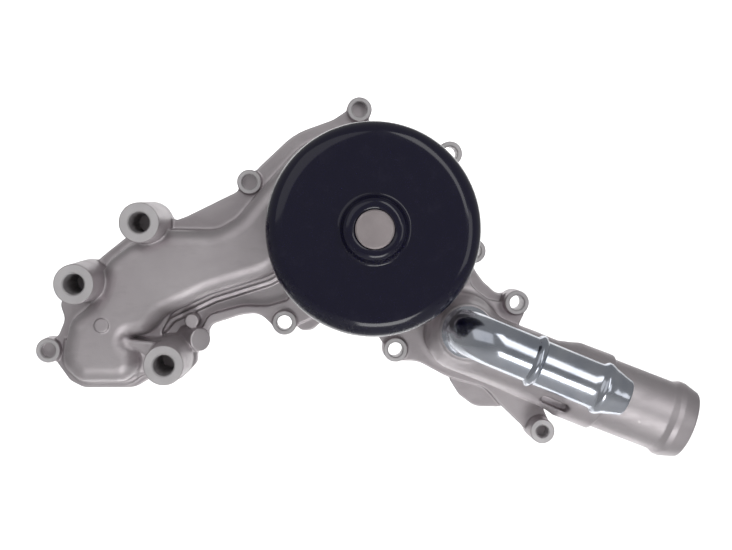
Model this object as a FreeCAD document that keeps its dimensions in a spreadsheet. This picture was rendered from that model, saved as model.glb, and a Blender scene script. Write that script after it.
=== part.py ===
import FreeCAD, Part
import math
import os
from types import SimpleNamespace

import Sketcher

# Engine coolant pump: a die-cast body with a belt pulley, a hose inlet and a steel return tube.
#
# Row frame, millimetres: the engine-side mounting face is the plane Y = 0 and looks towards +Y.
# The shaft lies on the Y axis. X is to the right and Z is up for a person who looks at the pulley.
# "Height" below is the distance in front of the mounting face, which is -Y.

Vector = FreeCAD.Vector
DOCUMENT = FreeCAD.newDocument("coolant_pump")
SHEET = DOCUMENT.addObject("Spreadsheet::Sheet", "Dimensions")

DIMENSIONS = [
    # gasket and body
    ("gasket_thick", 1.0, "gasket between the body and the engine"),
    ("bead_width", 2.5, "rubber band bonded to the gasket's window edges"),
    ("rail_top", 11.5, "top of the perimeter flange"),
    ("lobe_top", 4.5, "top of the thin flange lobes"),
    ("web_floor", 5.0, "floor of the pocket between flange and water channel"),
    ("channel_top", 30.0, "top of the water channel"),
    ("channel_round", 8.0, "rounding along the channel's top edge"),
    ("channel_roof", 26.0, "ceiling of the hollow inside the channel"),
    ("scroll_radius", 45.0, "outside of the scroll round the impeller"),
    ("scroll_top", 24.0, "top of the scroll"),
    ("flange_radius", 50.0, "flange round the scroll"),
    ("cavity_radius", 37.0, "impeller cavity"),
    ("cavity_roof", 14.5, "ceiling of the impeller cavity"),
    ("snout_radius", 22.5, "bearing snout"),
    ("snout_front", 65.2, "front end of the bearing snout"),
    ("weep_floor", 25.0, "start of the weep chamber behind the bearing"),
    ("bearing_seat", 30.6, "shoulder that the bearing rests on"),
    ("weep_radius", 2.0, "weep hole"),
    # bosses
    ("boss_radius", 5.85, "bolt boss"),
    ("boss_top", 15.0, "top of a bolt boss"),
    ("bolt_hole", 3.5, "radius of a bolt hole"),
    ("blind_depth", 5.0, "depth of the closed holes in the flange"),
    ("low_boss_top", 18.0, "top of the boss beside the inlet"),
    ("corner_boss_top", 24.0, "top of the boss at the lower corner"),
    ("corner_hole", 2.8, "radius of the hole in the lower corner boss"),
    ("pad_radius", 3.3, "small round pads of the casting"),
    ("lean_angle", 50.0, "lean of the short boss on the flange"),
    ("lean_length", 9.0, "length of the leaning boss"),
    ("tall_boss_radius", 9.0, "tall accessory boss"),
    ("tall_boss_top", 55.0, "top of the tall bosses"),
    ("tall_hole", 4.25, "tapping hole in a tall boss"),
    ("tall_depth", 35.0, "depth of the tapping hole"),
    # inlet
    ("inlet_x", 48.0, "start of the inlet axis"),
    ("inlet_z", -53.4, "start of the inlet axis"),
    ("inlet_height", 25.0, "height of the inlet axis"),
    ("inlet_angle", 21.3, "the inlet points down by this angle"),
    ("inlet_radius", 15.5, "inlet body"),
    ("inlet_bore", 11.5, "passage in the inlet body"),
    ("inlet_back", 5.0, "the passage starts this far behind the start of the axis"),
    ("collar_start", 47.0, "collar behind the hose nipple, along the inlet"),
    ("collar_end", 66.5, "front of the collar"),
    ("collar_radius", 18.6, "collar"),
    ("nipple_radius", 17.0, "hose nipple"),
    ("nipple_barb", 18.4, "ridge that holds the hose"),
    ("barb_place", 100.5, "rear end of the ridge, along the inlet"),
    ("barb_rise", 3.0, "length of the slope behind the ridge"),
    ("barb_land", 2.5, "length of the ridge"),
    ("nipple_end", 110.5, "end of the nipple, along the inlet"),
    ("nipple_bore", 14.0, "inside of the nipple"),
    ("bore_change", 62.0, "where the passage widens to the nipple's bore"),
    ("port_radius", 10.5, "opening from the inlet to the engine side"),
    # return tube
    ("tube_x", 44.3, "socket of the return tube"),
    ("tube_z", -47.4, "socket of the return tube"),
    ("tube_angle", 22.5, "the tube points down by this angle"),
    ("tube_radius", 10.5, "outside of the tube"),
    ("tube_wall", 1.2, "wall of the tube"),
    ("tube_height", 56.5, "height of the tube's straight run"),
    ("tube_bend", 14.0, "radius of the bend's centre line"),
    ("tube_foot", 27.0, "lower end of the tube in its socket"),
    ("tube_tip", 76.5, "end of the tube, from the socket's axis"),
    ("tip_radius", 8.4, "outside of the tapered tip"),
    ("tip_length", 8.0, "length of the tapered tip"),
    ("bead_radius", 12.0, "hose bead"),
    ("bead_foot", 2.2, "half the width of a bead at the tube"),
    ("bead_land", 0.9, "half the width of a bead's crest"),
    ("first_bead", 31.5, "first bead, from the socket's axis"),
    ("second_bead", 64.0, "second bead, from the socket's axis"),
    ("socket_radius", 13.5, "outside of the socket"),
    ("socket_top", 42.0, "mouth of the socket"),
    ("ring_wall", 1.1, "section of the rubber ring on the tube"),
    ("flare_out", 1.6, "how far the tube's flare stands out over its socket"),
    ("flare_step", 0.9, "height of the flare's straight edge"),
    ("flare_height", 1.9, "height of the whole flare"),
    ("root_overlap", 0.2, "overlap of a ring with the tube's wall"),
    # rotor
    ("shaft_rear", -5.0, "rear end of the shaft"),
    ("shaft_front", 76.0, "front end of the shaft"),
    ("shaft_step", 31.0, "where the shaft becomes thicker"),
    ("shaft_thin", 7.95, "shaft in the seal and impeller"),
    ("shaft_thick", 8.7, "shaft in the bearing and pulley"),
    ("shaft_chamfer", 0.8, "chamfer on the shaft's front end"),
    ("pulley_radius", 47.9, "belt face"),
    ("pulley_front", 70.0, "front face"),
    ("pulley_back", 47.0, "rear edge of the rim"),
    ("pulley_wall", 3.0, "sheet thickness"),
    ("pulley_round", 8.0, "rounding of the front edge"),
    ("dome_radius", 14.3, "raised centre"),
    ("dome_front", 75.0, "front of the raised centre"),
    ("dome_round", 4.0, "rounding of the raised centre's edge"),
    ("dome_foot", 2.0, "hollow rounding at the foot of the raised centre"),
    ("rim_edge", 1.0, "rounding of the rim's rear edge"),
    ("hub_rear", 66.0, "rear of the steel hub inside the pulley"),
    ("impeller_radius", 33.0, "impeller"),
    ("impeller_front", 9.0, "front of the impeller plate"),
    ("impeller_plate", 3.0, "thickness of the impeller plate"),
    ("impeller_rear", -8.0, "rear edge of the vanes"),
    ("vane_wall", 2.4, "thickness of a vane"),
    ("vane_count", 7.0, "vanes"),
    ("vane_sweep", 48.0, "angle that a vane curves back from its root to its tip"),
    ("vane_overlap", 0.5, "how far a vane runs into its plate"),
    ("hub_wall", 3.0, "plastic round the bush"),
    ("hub_back", -3.5, "rear end of the plastic round the bush"),
    ("bush_radius", 10.5, "steel bush in the impeller"),
    ("slinger_radius", 13.0, "water slinger on the shaft"),
    # bearing
    ("race_outer", 19.05, "outer ring"),
    ("race_inner", 15.3, "bore of the outer ring"),
    ("race_rear", 30.6, "rear end of the outer ring"),
    ("race_front", 64.8, "front end of the outer ring"),
    ("pitch_radius", 12.0, "circle of the balls and rollers"),
    ("ball_radius", 3.53, "bearing ball"),
    ("groove_radius", 3.6, "section of the ball grooves"),
    ("ball_row", 55.0, "height of the ball row"),
    ("ball_count", 9.0, "balls"),
    ("roller_radius", 3.25, "bearing roller"),
    ("roller_start", 36.5, "rear end of the rollers"),
    ("roller_length", 10.0, "length of a roller"),
    ("roller_count", 10.0, "rollers"),
    ("cage_inner", 11.0, "inside of the cages"),
    ("cage_outer", 13.0, "outside of the cages"),
    ("cage_gap", 0.12, "play of a ball or roller in its pocket"),
    # shaft seal
    ("case_radius", 18.25, "seal case in its bore"),
    ("case_flange", 20.5, "rim of the seal case"),
    ("case_wall", 0.8, "sheet of the seal case"),
    ("case_floor", 24.0, "front of the seal case"),
    ("carbon_outer", 13.0, "carbon ring"),
    ("carbon_inner", 8.6, "bore of the carbon ring"),
    ("face_height", 12.2, "height of the sealing faces"),
    ("spring_radius", 14.8, "coil of the seal spring"),
    ("spring_wire", 0.6, "half the wire's diameter"),
]

for row, (alias, number, meaning) in enumerate(DIMENSIONS, start=1):
    SHEET.set(f"A{row}", meaning)
    SHEET.set(f"B{row}", str(number))
    SHEET.setAlias(f"B{row}", alias)
DOCUMENT.recompute()


class Size:
    """A number together with the sheet formula that gives it."""

    def __init__(self, number, text):
        self.number = number
        self.text = text

    def _join(self, other, sign, number):
        return Size(number, f"({self.text} {sign} {size(other).text})")

    def __add__(self, other):
        return self._join(other, "+", self.number + size(other).number)

    def __sub__(self, other):
        return self._join(other, "-", self.number - size(other).number)

    def __mul__(self, other):
        return self._join(other, "*", self.number * size(other).number)

    def __truediv__(self, other):
        return self._join(other, "/", self.number / size(other).number)

    def __neg__(self):
        return Size(-self.number, f"(0 - {self.text})")


def size(value):
    """A plain number as a Size."""
    return value if isinstance(value, Size) else Size(float(value), f"{float(value)}")


D = SimpleNamespace(**{alias: Size(number, f"Dimensions.{alias}") for alias, number, _ in DIMENSIONS})

# Bolt bosses on the flange: (x, z). The open ones take the bolts that hold the pump.
OPEN_BOSSES = [(39.0, 36.1), (50.5, -10.6), (12.9, -58.1), (-40.4, -44.9)]
CLOSED_BOSSES = [(-4.4, 57.0), (-57.0, 22.4), (-152.7, -57.8)]
LOW_BOSS = (71.1, -35.4)
CORNER_BOSS = (82.7, -96.6)
TALL_BOSSES = [(-104.3, 3.0), (-133.5, -24.5), (-93.8, -61.0)]
LEANING_BOSS = (-81.9, -52.7, 14.0)
SMALL_PAD = (-125.1, -44.9)
WEB_PIN = (-84.7, -43.9)
TUBE_SOCKET = (D.tube_x, D.tube_z)
INLET_PORT = (D.inlet_x + 4, D.inlet_z - 1.6)


def bind(thing, path, value):
    """Ties one property of an object to the sheet."""
    thing.setExpression(path, size(value).text)


def body(label):
    """An empty PartDesign body."""
    made = DOCUMENT.addObject("PartDesign::Body", label)
    made.Label = label
    return made


def plane(owner, role):
    """One of a body's own origin planes or axes."""
    return next(one for one in owner.Origin.OriginFeatures if one.Role == role)


def sketch(owner, name, role, lift=None):
    """A sketch on one of the body's planes, lifted along the plane's normal."""
    made = owner.newObject("Sketcher::SketchObject", name)
    made.AttachmentSupport = [(plane(owner, role), "")]
    made.MapMode = "FlatFace"
    if lift is not None:
        made.AttachmentOffset = FreeCAD.Placement(Vector(0, 0, size(lift).number), FreeCAD.Rotation())
        bind(made, ".AttachmentOffset.Base.z", lift)
    return made


def polygon(drawing, corners):
    """A closed loop of straight lines whose corners are tied to the sheet."""
    corners = [(size(across), size(up)) for across, up in corners]
    count = len(corners)
    places = [Vector(across.number, up.number, 0) for across, up in corners]
    first = drawing.GeometryCount
    for k in range(count):
        drawing.addGeometry(Part.LineSegment(places[k], places[(k + 1) % count]), False)
    for k, (across, up) in enumerate(corners):
        line = first + k
        drawing.addConstraint(Sketcher.Constraint("Coincident", line, 2, first + (k + 1) % count, 1))
        for kind, value in (("DistanceX", across), ("DistanceY", up)):
            index = drawing.addConstraint(Sketcher.Constraint(kind, -1, 1, line, 1, value.number))
            bind(drawing, f"Constraints[{index}]", value)


def circle(drawing, place, radius):
    """A circle at a fixed place whose radius is tied to the sheet."""
    across, up = size(place[0]), size(place[1])
    radius = size(radius)
    line = drawing.addGeometry(
        Part.Circle(Vector(across.number, up.number, 0), Vector(0, 0, 1), radius.number), False
    )
    index = drawing.addConstraint(Sketcher.Constraint("Radius", line, radius.number))
    bind(drawing, f"Constraints[{index}]", radius)
    for kind, value in (("DistanceX", across), ("DistanceY", up)):
        index = drawing.addConstraint(Sketcher.Constraint(kind, -1, 1, line, 3, value.number))
        bind(drawing, f"Constraints[{index}]", value)


def rounded_edges(corners):
    """Lines and tangent arcs along a closed outline of (x, z, radius) corners."""
    count = len(corners)
    joints = []
    for k, (x, z, radius) in enumerate(corners):
        corner = Vector(x, z, 0)
        before = Vector(*corners[k - 1][:2], 0) - corner
        after = Vector(*corners[(k + 1) % count][:2], 0) - corner
        half = before.getAngle(after) / 2
        back = radius / math.tan(half)
        before.normalize()
        after.normalize()
        middle = (before + after).normalize()
        centre = corner + middle * (radius / math.sin(half))
        joints.append((corner + before * back, centre - middle * radius, corner + after * back))
    edges = []
    for k, (start, middle, end) in enumerate(joints):
        edges.append(Part.Arc(start, middle, end))
        edges.append(Part.LineSegment(end, joints[(k + 1) % count][0]))
    return edges


def outline(drawing, corners):
    """A closed cast outline in a sketch, pinned where it is drawn."""
    for edge in rounded_edges(corners):
        index = drawing.addGeometry(edge, False)
        drawing.addConstraint(Sketcher.Constraint("Block", index))


def finish(owner, feature):
    """Recomputes and checks that a feature worked and left one solid."""
    DOCUMENT.recompute()
    failed = "Invalid" in feature.State or "Error" in feature.State
    if failed or feature.Shape.isNull() or not feature.Shape.isValid():
        raise RuntimeError(f"{owner.Label}: {feature.Label} failed, {feature.State}")
    return feature


def pad(owner, drawing, length, name="Pad"):
    """Adds the sketch's area towards its normal."""
    made = owner.newObject("PartDesign::Pad", name)
    made.Profile = drawing
    bind(made, "Length", length)
    return finish(owner, made)


def turn(owner, drawing, name="Turned", axis="V_Axis", angle=360.0):
    """Adds the sketch's area turned about one of its own axes."""
    made = owner.newObject("PartDesign::Revolution", name)
    made.Profile = drawing
    made.ReferenceAxis = (drawing, [axis])
    made.Angle = angle
    return finish(owner, made)


def groove(owner, drawing, name="Groove"):
    """Cuts the sketch's area turned about its vertical axis, and checks that it took metal away."""
    before = owner.Tip.Shape.Volume
    made = owner.newObject("PartDesign::Groove", name)
    made.Profile = drawing
    made.ReferenceAxis = (drawing, ["V_Axis"])
    made.Angle = 360.0
    finish(owner, made)
    if made.Shape.Volume > before - 1e-3:
        raise RuntimeError(f"{owner.Label}: {made.Label} cuts nothing")
    return made


def soften(owner, radius, wanted, name="Rounding", kind="Fillet"):
    """Rounds or chamfers the edges for which wanted(edge) is true."""
    base = owner.Tip
    names = [f"Edge{k}" for k, edge in enumerate(base.Shape.Edges, start=1) if wanted(edge)]
    if not names:
        raise RuntimeError(f"{owner.Label}: {name} finds no edges")
    made = owner.newObject(f"PartDesign::{kind}", name)
    made.Base = (base, names)
    bind(made, "Radius" if kind == "Fillet" else "Size", radius)
    return finish(owner, made)


def ring_edge(radius, height):
    """A test for the circular edge of this radius about the shaft at this height."""
    radius, height = size(radius).number, size(height).number

    def wanted(edge):
        curve = edge.Curve
        if not isinstance(curve, Part.Circle):
            return False
        centre = curve.Center
        on_axis = math.hypot(centre.x, centre.z) < 1e-4
        return on_axis and abs(curve.Radius - radius) < 1e-4 and abs(centre.y + height) < 1e-4

    return wanted


def turned_body(label, *loops):
    """A body turned about the shaft. Each loop is a list of (radius, height) corners."""
    owner = body(label)
    drawing = sketch(owner, f"{label}_profile", "XY_Plane")
    for loop in loops:
        polygon(drawing, [(radius, -size(height)) for radius, height in loop])
    turn(owner, drawing)
    return owner


def tube_loop(inner, outer, low, high):
    """The section of a plain ring."""
    return [(inner, low), (outer, low), (outer, high), (inner, high)]


# ---------------------------------------------------------------------------------------------
# Outlines of the casting: (x, z, corner radius)

ARM_FLANGE = [
    (0.0, 50.0, 3.0),
    (0.8, 53.0, 2.0),
    (-10.0, 57.0, 3.0),
    (-17.0, 52.3, 12.0),
    (-35.5, 45.6, 30.0),
    (-52.0, 30.0, 8.0),
    (-63.5, 17.6, 6.0),
    (-87.1, 6.0, 12.0),
    (-93.0, 3.8, 5.0),
    (-99.0, 8.0, 3.0),
    (-110.0, 0.0, 4.0),
    (-117.0, -4.8, 12.0),
    (-128.0, -13.6, 10.0),
    (-133.0, -20.0, 6.0),
    (-143.2, -26.0, 5.0),
    (-147.6, -36.0, 6.0),
    (-145.2, -43.0, 6.0),
    (-148.0, -50.0, 4.0),
    (-154.0, -57.0, 3.0),
    (-148.6, -64.6, 4.0),
    (-143.0, -72.6, 6.0),
    (-136.5, -76.0, 8.0),
    (-112.0, -76.0, 10.0),
    (-104.5, -71.5, 8.0),
    (-91.3, -72.8, 4.0),
    (-82.8, -64.4, 3.0),
    (-82.4, -58.8, 3.0),
    (-77.6, -56.0, 3.0),
    (-76.6, -46.2, 6.0),
    (-61.0, -41.2, 20.0),
    (-52.5, -40.4, 8.0),
    (-45.5, -47.0, 3.0),
    (-36.0, -47.0, 3.0),
    (-20.0, -40.0, 5.0),
    (0.0, 0.0, 5.0),
]
INLET_FLANGE = [
    (0.0, 0.0, 5.0),
    (49.0, -4.0, 5.0),
    (51.6, -19.5, 8.0),
    (56.0, -25.5, 10.0),
    (63.0, -31.8, 6.0),
    (71.0, -30.5, 3.0),
    (76.2, -40.0, 4.0),
    (72.8, -47.0, 6.0),
    (84.0, -84.0, 10.0),
    (88.0, -94.0, 4.0),
    (81.0, -101.8, 3.0),
    (64.3, -85.6, 10.0),
    (57.0, -77.2, 12.0),
    (38.5, -71.8, 20.0),
    (24.0, -64.0, 12.0),
    (13.0, -63.6, 3.0),
    (3.0, -49.5, 6.0),
]
CORNER_LOBE = [
    (60.0, -70.0, 2.0),
    (68.5, -87.5, 3.0),
    (52.5, -87.0, 8.0),
    (44.8, -81.3, 6.0),
    (39.0, -72.0, 4.0),
    (45.0, -66.0, 3.0),
]
SIDE_LOBE = [
    (-38.0, -50.0, 4.0),
    (-27.0, -49.2, 4.0),
    (-20.0, -43.0, 4.0),
    (-30.0, -36.0, 4.0),
]
CHANNEL = [
    (-3.0, 44.0, 12.0),
    (-29.0, 42.8, 24.0),
    (-51.2, 18.6, 24.0),
    (-62.4, 5.0, 12.0),
    (-71.8, -0.8, 14.0),
    (-94.0, -0.4, 12.0),
    (-113.0, -7.6, 14.0),
    (-123.2, -15.4, 9.0),
    (-126.6, -28.0, 9.0),
    (-132.0, -36.5, 10.0),
    (-140.6, -43.4, 9.0),
    (-145.0, -58.0, 9.0),
    (-145.4, -67.0, 9.0),
    (-137.0, -74.4, 9.5),
    (-113.0, -74.4, 9.0),
    (-107.6, -66.5, 9.0),
    (-109.4, -56.5, 9.0),
    (-115.5, -50.8, 2.0),
    (-103.8, -49.6, 9.0),
    (-97.0, -41.0, 10.0),
    (-75.5, -30.8, 14.0),
    (-47.0, -22.0, 16.0),
    (-34.0, -10.0, 12.0),
    (-20.0, 2.0, 12.0),
    (-6.0, 26.0, 10.0),
]
CHANNEL_HOLLOW = [
    (-8.0, 40.5, 3.0),
    (-28.0, 38.4, 20.0),
    (-46.8, 17.5, 20.0),
    (-60.0, 1.2, 12.0),
    (-71.0, -5.0, 12.0),
    (-93.4, -4.8, 10.0),
    (-111.0, -11.4, 10.0),
    (-118.6, -17.2, 5.0),
    (-122.2, -29.4, 6.0),
    (-129.0, -40.0, 8.0),
    (-136.8, -46.0, 5.0),
    (-140.6, -58.2, 6.0),
    (-141.0, -65.2, 5.0),
    (-135.6, -70.0, 5.5),
    (-115.0, -70.0, 5.0),
    (-112.0, -66.0, 4.0),
    (-113.6, -58.6, 4.0),
    (-119.4, -53.4, 3.0),
    (-117.0, -48.6, 4.0),
    (-106.4, -45.8, 6.0),
    (-99.4, -37.2, 8.0),
    (-76.6, -26.4, 12.0),
    (-48.0, -17.6, 14.0),
    (-36.0, -6.0, 4.0),
    (-33.0, 8.0, 20.0),
    (-20.0, 28.0, 20.0),
]
WEB_POCKET = [
    (-38.0, -34.2, 3.0),
    (-48.2, -37.2, 6.0),
    (-61.0, -37.0, 20.0),
    (-77.0, -41.4, 6.0),
    (-80.0, -47.5, 3.0),
    (-90.0, -51.0, 3.0),
    (-100.6, -51.6, 2.0),
    (-92.0, -36.0, 4.0),
    (-50.0, -20.0, 6.0),
    (-38.0, -22.0, 4.0),
]
BOSS_WEB = [
    (-92.0, -54.0, 2.0),
    (-112.0, -54.0, 2.0),
    (-112.0, -69.5, 2.0),
    (-92.0, -69.5, 2.0),
]
INLET_ROOT = [
    (30.0, -44.0, 5.0),
    (27.0, -54.0, 8.0),
    (38.5, -66.0, 16.0),
    (60.0, -74.8, 20.0),
    (80.0, -84.0, 8.0),
    (97.0, -89.0, 4.0),
    (97.0, -58.0, 4.0),
    (79.0, -49.4, 10.0),
    (62.0, -43.2, 12.0),
    (52.0, -34.0, 10.0),
    (38.0, -32.0, 5.0),
]


# ---------------------------------------------------------------------------------------------
# Helpers for the casting


def slab(name, corners, low, high):
    """A flat cast slab between two heights."""
    owner = body(name)
    drawing = sketch(owner, f"{name}_outline", "XZ_Plane", lift=low)
    outline(drawing, corners)
    pad(owner, drawing, size(high) - low)
    return owner


def column(name, place, radius, low, high):
    """A round solid along the shaft's direction between two heights."""
    across, up, low = size(place[0]), size(place[1]), size(low)
    made = DOCUMENT.addObject("Part::Cylinder", name)
    bind(made, "Radius", radius)
    bind(made, "Height", size(high) - low)
    forward = FreeCAD.Rotation(Vector(1, 0, 0), 90)
    made.Placement = FreeCAD.Placement(Vector(across.number, -low.number, up.number), forward)
    bind(made, ".Placement.Base.x", across)
    bind(made, ".Placement.Base.y", -low)
    bind(made, ".Placement.Base.z", up)
    return made


def columns(name, places, radius, low, high):
    """The same round solid at several places."""
    return [
        column(f"{name}_{k}", place, radius, low, high) for k, place in enumerate(places, start=1)
    ]


def inlet_turning(name, corners):
    """A solid turned about the inlet's axis, from (distance along it, radius) corners."""
    owner = body(name)
    drawing = sketch(owner, f"{name}_profile", "XZ_Plane")
    drawing.AttachmentOffset = FreeCAD.Placement(
        Vector(D.inlet_x.number, D.inlet_z.number, D.inlet_height.number),
        FreeCAD.Rotation(Vector(0, 0, -1), D.inlet_angle.number),
    )
    bind(drawing, ".AttachmentOffset.Base.x", D.inlet_x)
    bind(drawing, ".AttachmentOffset.Base.y", D.inlet_z)
    bind(drawing, ".AttachmentOffset.Base.z", D.inlet_height)
    bind(drawing, ".AttachmentOffset.Rotation.Angle", D.inlet_angle)
    polygon(drawing, corners)
    turn(owner, drawing, axis="H_Axis")
    return owner


def joined(label, solids, tidy=True):
    """Several solids fused into one, with flush faces merged if tidy is true."""
    made = DOCUMENT.addObject("Part::MultiFuse", label)
    made.Label = label
    made.Shapes = solids
    made.Refine = tidy
    return made


def hollowed(label, solid, hollows):
    """A solid with one or more others taken out of it."""
    made = DOCUMENT.addObject("Part::Cut", label)
    made.Label = label
    made.Base = solid
    several = len(hollows) > 1
    made.Tool = joined(f"{label}_hollows", hollows, tidy=False) if several else hollows[0]
    made.Refine = True
    DOCUMENT.recompute()
    return made


def build_channel():
    """The outside of the water channel, rounded along its front edge."""
    owner = slab("channel", CHANNEL, D.gasket_thick, D.channel_top)
    front = -D.channel_top.number
    shaft_side = -12

    def wanted(edge):
        box = edge.BoundBox
        flat = abs(box.YMin - front) < 1e-4 and abs(box.YMax - front) < 1e-4
        return flat and box.Center.x < shaft_side

    soften(owner, D.channel_round, wanted, "channel_edge")
    return owner


def build_side_boss():
    """The short boss on the flange that leans to the right."""
    owner = body("leaning_boss")
    drawing = sketch(owner, "leaning_boss_circle", "XZ_Plane")
    x, z, height = LEANING_BOSS
    lean = FreeCAD.Rotation(Vector(0, 1, 0), D.lean_angle.number)
    start = Vector(x, z, height) - lean.multVec(Vector(0, 0, D.lean_length.number))
    drawing.AttachmentOffset = FreeCAD.Placement(start, lean)
    circle(drawing, (0, 0), D.boss_radius)
    pad(owner, drawing, D.lean_length)
    return owner


def casting_solids():
    """Everything that the casting is made of, before its hollows are cut."""
    rear, rail = D.gasket_thick, D.rail_top
    web_pocket = slab("web_pocket", WEB_POCKET, D.web_floor, rail + 1)
    flange = joined(
        "flange_blank",
        [
            column("scroll_flange", (0, 0), D.flange_radius, rear, rail),
            slab("arm_flange", ARM_FLANGE, rear, rail),
            slab("inlet_flange", INLET_FLANGE, rear, rail),
        ],
    )
    solids = [
        hollowed("flange", flange, [web_pocket]),
        build_channel(),
        column("scroll", (0, 0), D.scroll_radius, rear, D.scroll_top),
        slab("corner_lobe", CORNER_LOBE, rear, D.lobe_top),
        slab("side_lobe", SIDE_LOBE, rear, D.lobe_top),
        slab("boss_web", BOSS_WEB, rear, D.scroll_top),
        slab("inlet_root", INLET_ROOT, rear, D.inlet_height),
        column("low_boss", LOW_BOSS, D.boss_radius, rear, D.low_boss_top),
        column("corner_boss", CORNER_BOSS, D.boss_radius, rear, D.corner_boss_top),
        column("snout", (0, 0), D.snout_radius, D.cavity_roof, D.snout_front),
        column("tube_socket", TUBE_SOCKET, D.socket_radius, rail, D.socket_top),
        column("small_pad", SMALL_PAD, D.pad_radius, rail, D.channel_top + 0.8),
        column("web_pin", WEB_PIN, D.pad_radius, rear, D.boss_top),
        build_side_boss(),
        inlet_turning(
            "inlet",
            [
                (-D.inlet_back - D.inlet_radius, 0),
                (-D.inlet_back - D.inlet_radius, D.inlet_radius / 2),
                (-D.inlet_back - D.inlet_radius / 2, D.inlet_radius),
                (D.collar_start, D.inlet_radius),
                (D.collar_start + 2, D.collar_radius),
                (D.collar_end, D.collar_radius),
                (D.collar_end, D.nipple_radius),
                (D.barb_place - D.barb_rise, D.nipple_radius),
                (D.barb_place, D.nipple_barb),
                (D.barb_place + D.barb_land, D.nipple_barb),
                (D.nipple_end, D.nipple_radius),
                (D.nipple_end, 0),
            ],
        ),
    ]
    solids += columns("open_boss", OPEN_BOSSES, D.boss_radius, rear, D.boss_top)
    solids += columns("closed_boss", CLOSED_BOSSES, D.boss_radius, rear, D.boss_top)
    solids += columns("tall_boss", TALL_BOSSES, D.tall_boss_radius, rear, D.tall_boss_top)
    return solids


def casting_hollows():
    """Everything that is cut out of the casting."""
    rear = D.gasket_thick
    behind = rear - 1
    rim = D.cavity_roof + D.case_wall
    ring_seat = D.tube_radius + D.ring_wall
    mouth = D.socket_top + 1
    hollows = [
        column("impeller_cavity", (0, 0), D.cavity_radius, behind, D.cavity_roof),
        slab("channel_hollow", CHANNEL_HOLLOW, behind, D.channel_roof),
        column("seal_rim_seat", (0, 0), D.case_flange, D.cavity_roof - 1, rim),
        column("seal_bore", (0, 0), D.case_radius, D.cavity_roof - 1, D.case_floor),
        column("weep_chamber", (0, 0), D.race_inner, D.case_floor - 1, D.bearing_seat + 1),
        column("bearing_bore", (0, 0), D.race_outer, D.bearing_seat, D.snout_front + 1),
        column("inlet_port", INLET_PORT, D.port_radius, behind, D.inlet_height),
        column("tube_step", TUBE_SOCKET, D.tube_radius - D.tube_wall, D.inlet_height, mouth),
        column("tube_bore", TUBE_SOCKET, D.tube_radius, D.tube_foot, mouth),
        column("tube_ring_seat", TUBE_SOCKET, ring_seat, D.socket_top - 2.5, mouth),
        column("corner_hole", CORNER_BOSS, D.corner_hole, D.boss_top, D.corner_boss_top + 1),
        inlet_turning(
            "inlet_passage",
            [
                (-D.inlet_back - D.inlet_radius / 2, 0),
                (-D.inlet_back - D.inlet_radius / 2, D.inlet_bore),
                (D.bore_change, D.inlet_bore),
                (D.bore_change, D.nipple_bore),
                (D.nipple_end + 1, D.nipple_bore),
                (D.nipple_end + 1, 0),
            ],
        ),
        build_weep_hole(),
    ]
    bolts = OPEN_BOSSES + [LOW_BOSS]
    top = D.low_boss_top + 1
    floor = D.boss_top - D.blind_depth
    hollows += columns("bolt_hole", bolts, D.bolt_hole, behind, top)
    hollows += columns("closed_hole", CLOSED_BOSSES, D.bolt_hole, floor, top)
    floor = D.tall_boss_top - D.tall_depth
    hollows += columns("tall_hole", TALL_BOSSES, D.tall_hole, floor, D.tall_boss_top + 1)
    return hollows


def build_weep_hole():
    """The drain drilled across the snout into the chamber behind the bearing."""
    made = DOCUMENT.addObject("Part::Cylinder", "weep_hole")
    bind(made, "Radius", D.weep_radius)
    bind(made, "Height", D.snout_radius - D.race_inner + 3)
    made.Placement = FreeCAD.Placement(Vector(0, 0, 0), FreeCAD.Rotation())
    bind(made, ".Placement.Base.y", -(D.weep_floor + 2.5))
    bind(made, ".Placement.Base.z", -(D.snout_radius + 1))
    return made


def build_housing():
    """The die-cast body with its water channel, bearing snout and hose inlet."""
    solid = joined("casting", casting_solids())
    return hollowed("housing", solid, casting_hollows())


def window_wires(grow):
    """The gasket's two windows, to the impeller and channel and to the inlet port."""
    disc = Part.Face(Part.Wire(Part.makeCircle(D.cavity_radius.number)))
    shapes = [edge.toShape() for edge in rounded_edges(CHANNEL_HOLLOW)]
    hollow = Part.Face(Part.Wire(Part.__sortEdges__(shapes)))
    main = disc.fuse(hollow).removeSplitter().Faces[0].OuterWire
    port = Part.Wire(
        Part.makeCircle(
            D.port_radius.number, Vector(INLET_PORT[0].number, INLET_PORT[1].number, 0)
        )
    )
    return [wire.makeOffset2D(grow) for wire in (main, port)]


def draw_wires(drawing, wires):
    """Puts finished wires into a sketch and pins them."""
    for wire in wires:
        for edge in wire.Edges:
            start, end = edge.FirstParameter, edge.LastParameter
            if isinstance(edge.Curve, Part.Line):
                shape = Part.LineSegment(edge.valueAt(start), edge.valueAt(end))
            elif edge.isClosed():
                shape = Part.Circle(edge.Curve.Center, Vector(0, 0, 1), edge.Curve.Radius)
            else:
                middle = edge.valueAt((start + end) / 2)
                shape = Part.Arc(edge.valueAt(start), middle, edge.valueAt(end))
            index = drawing.addGeometry(shape, False)
            drawing.addConstraint(Sketcher.Constraint("Block", index))


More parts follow.
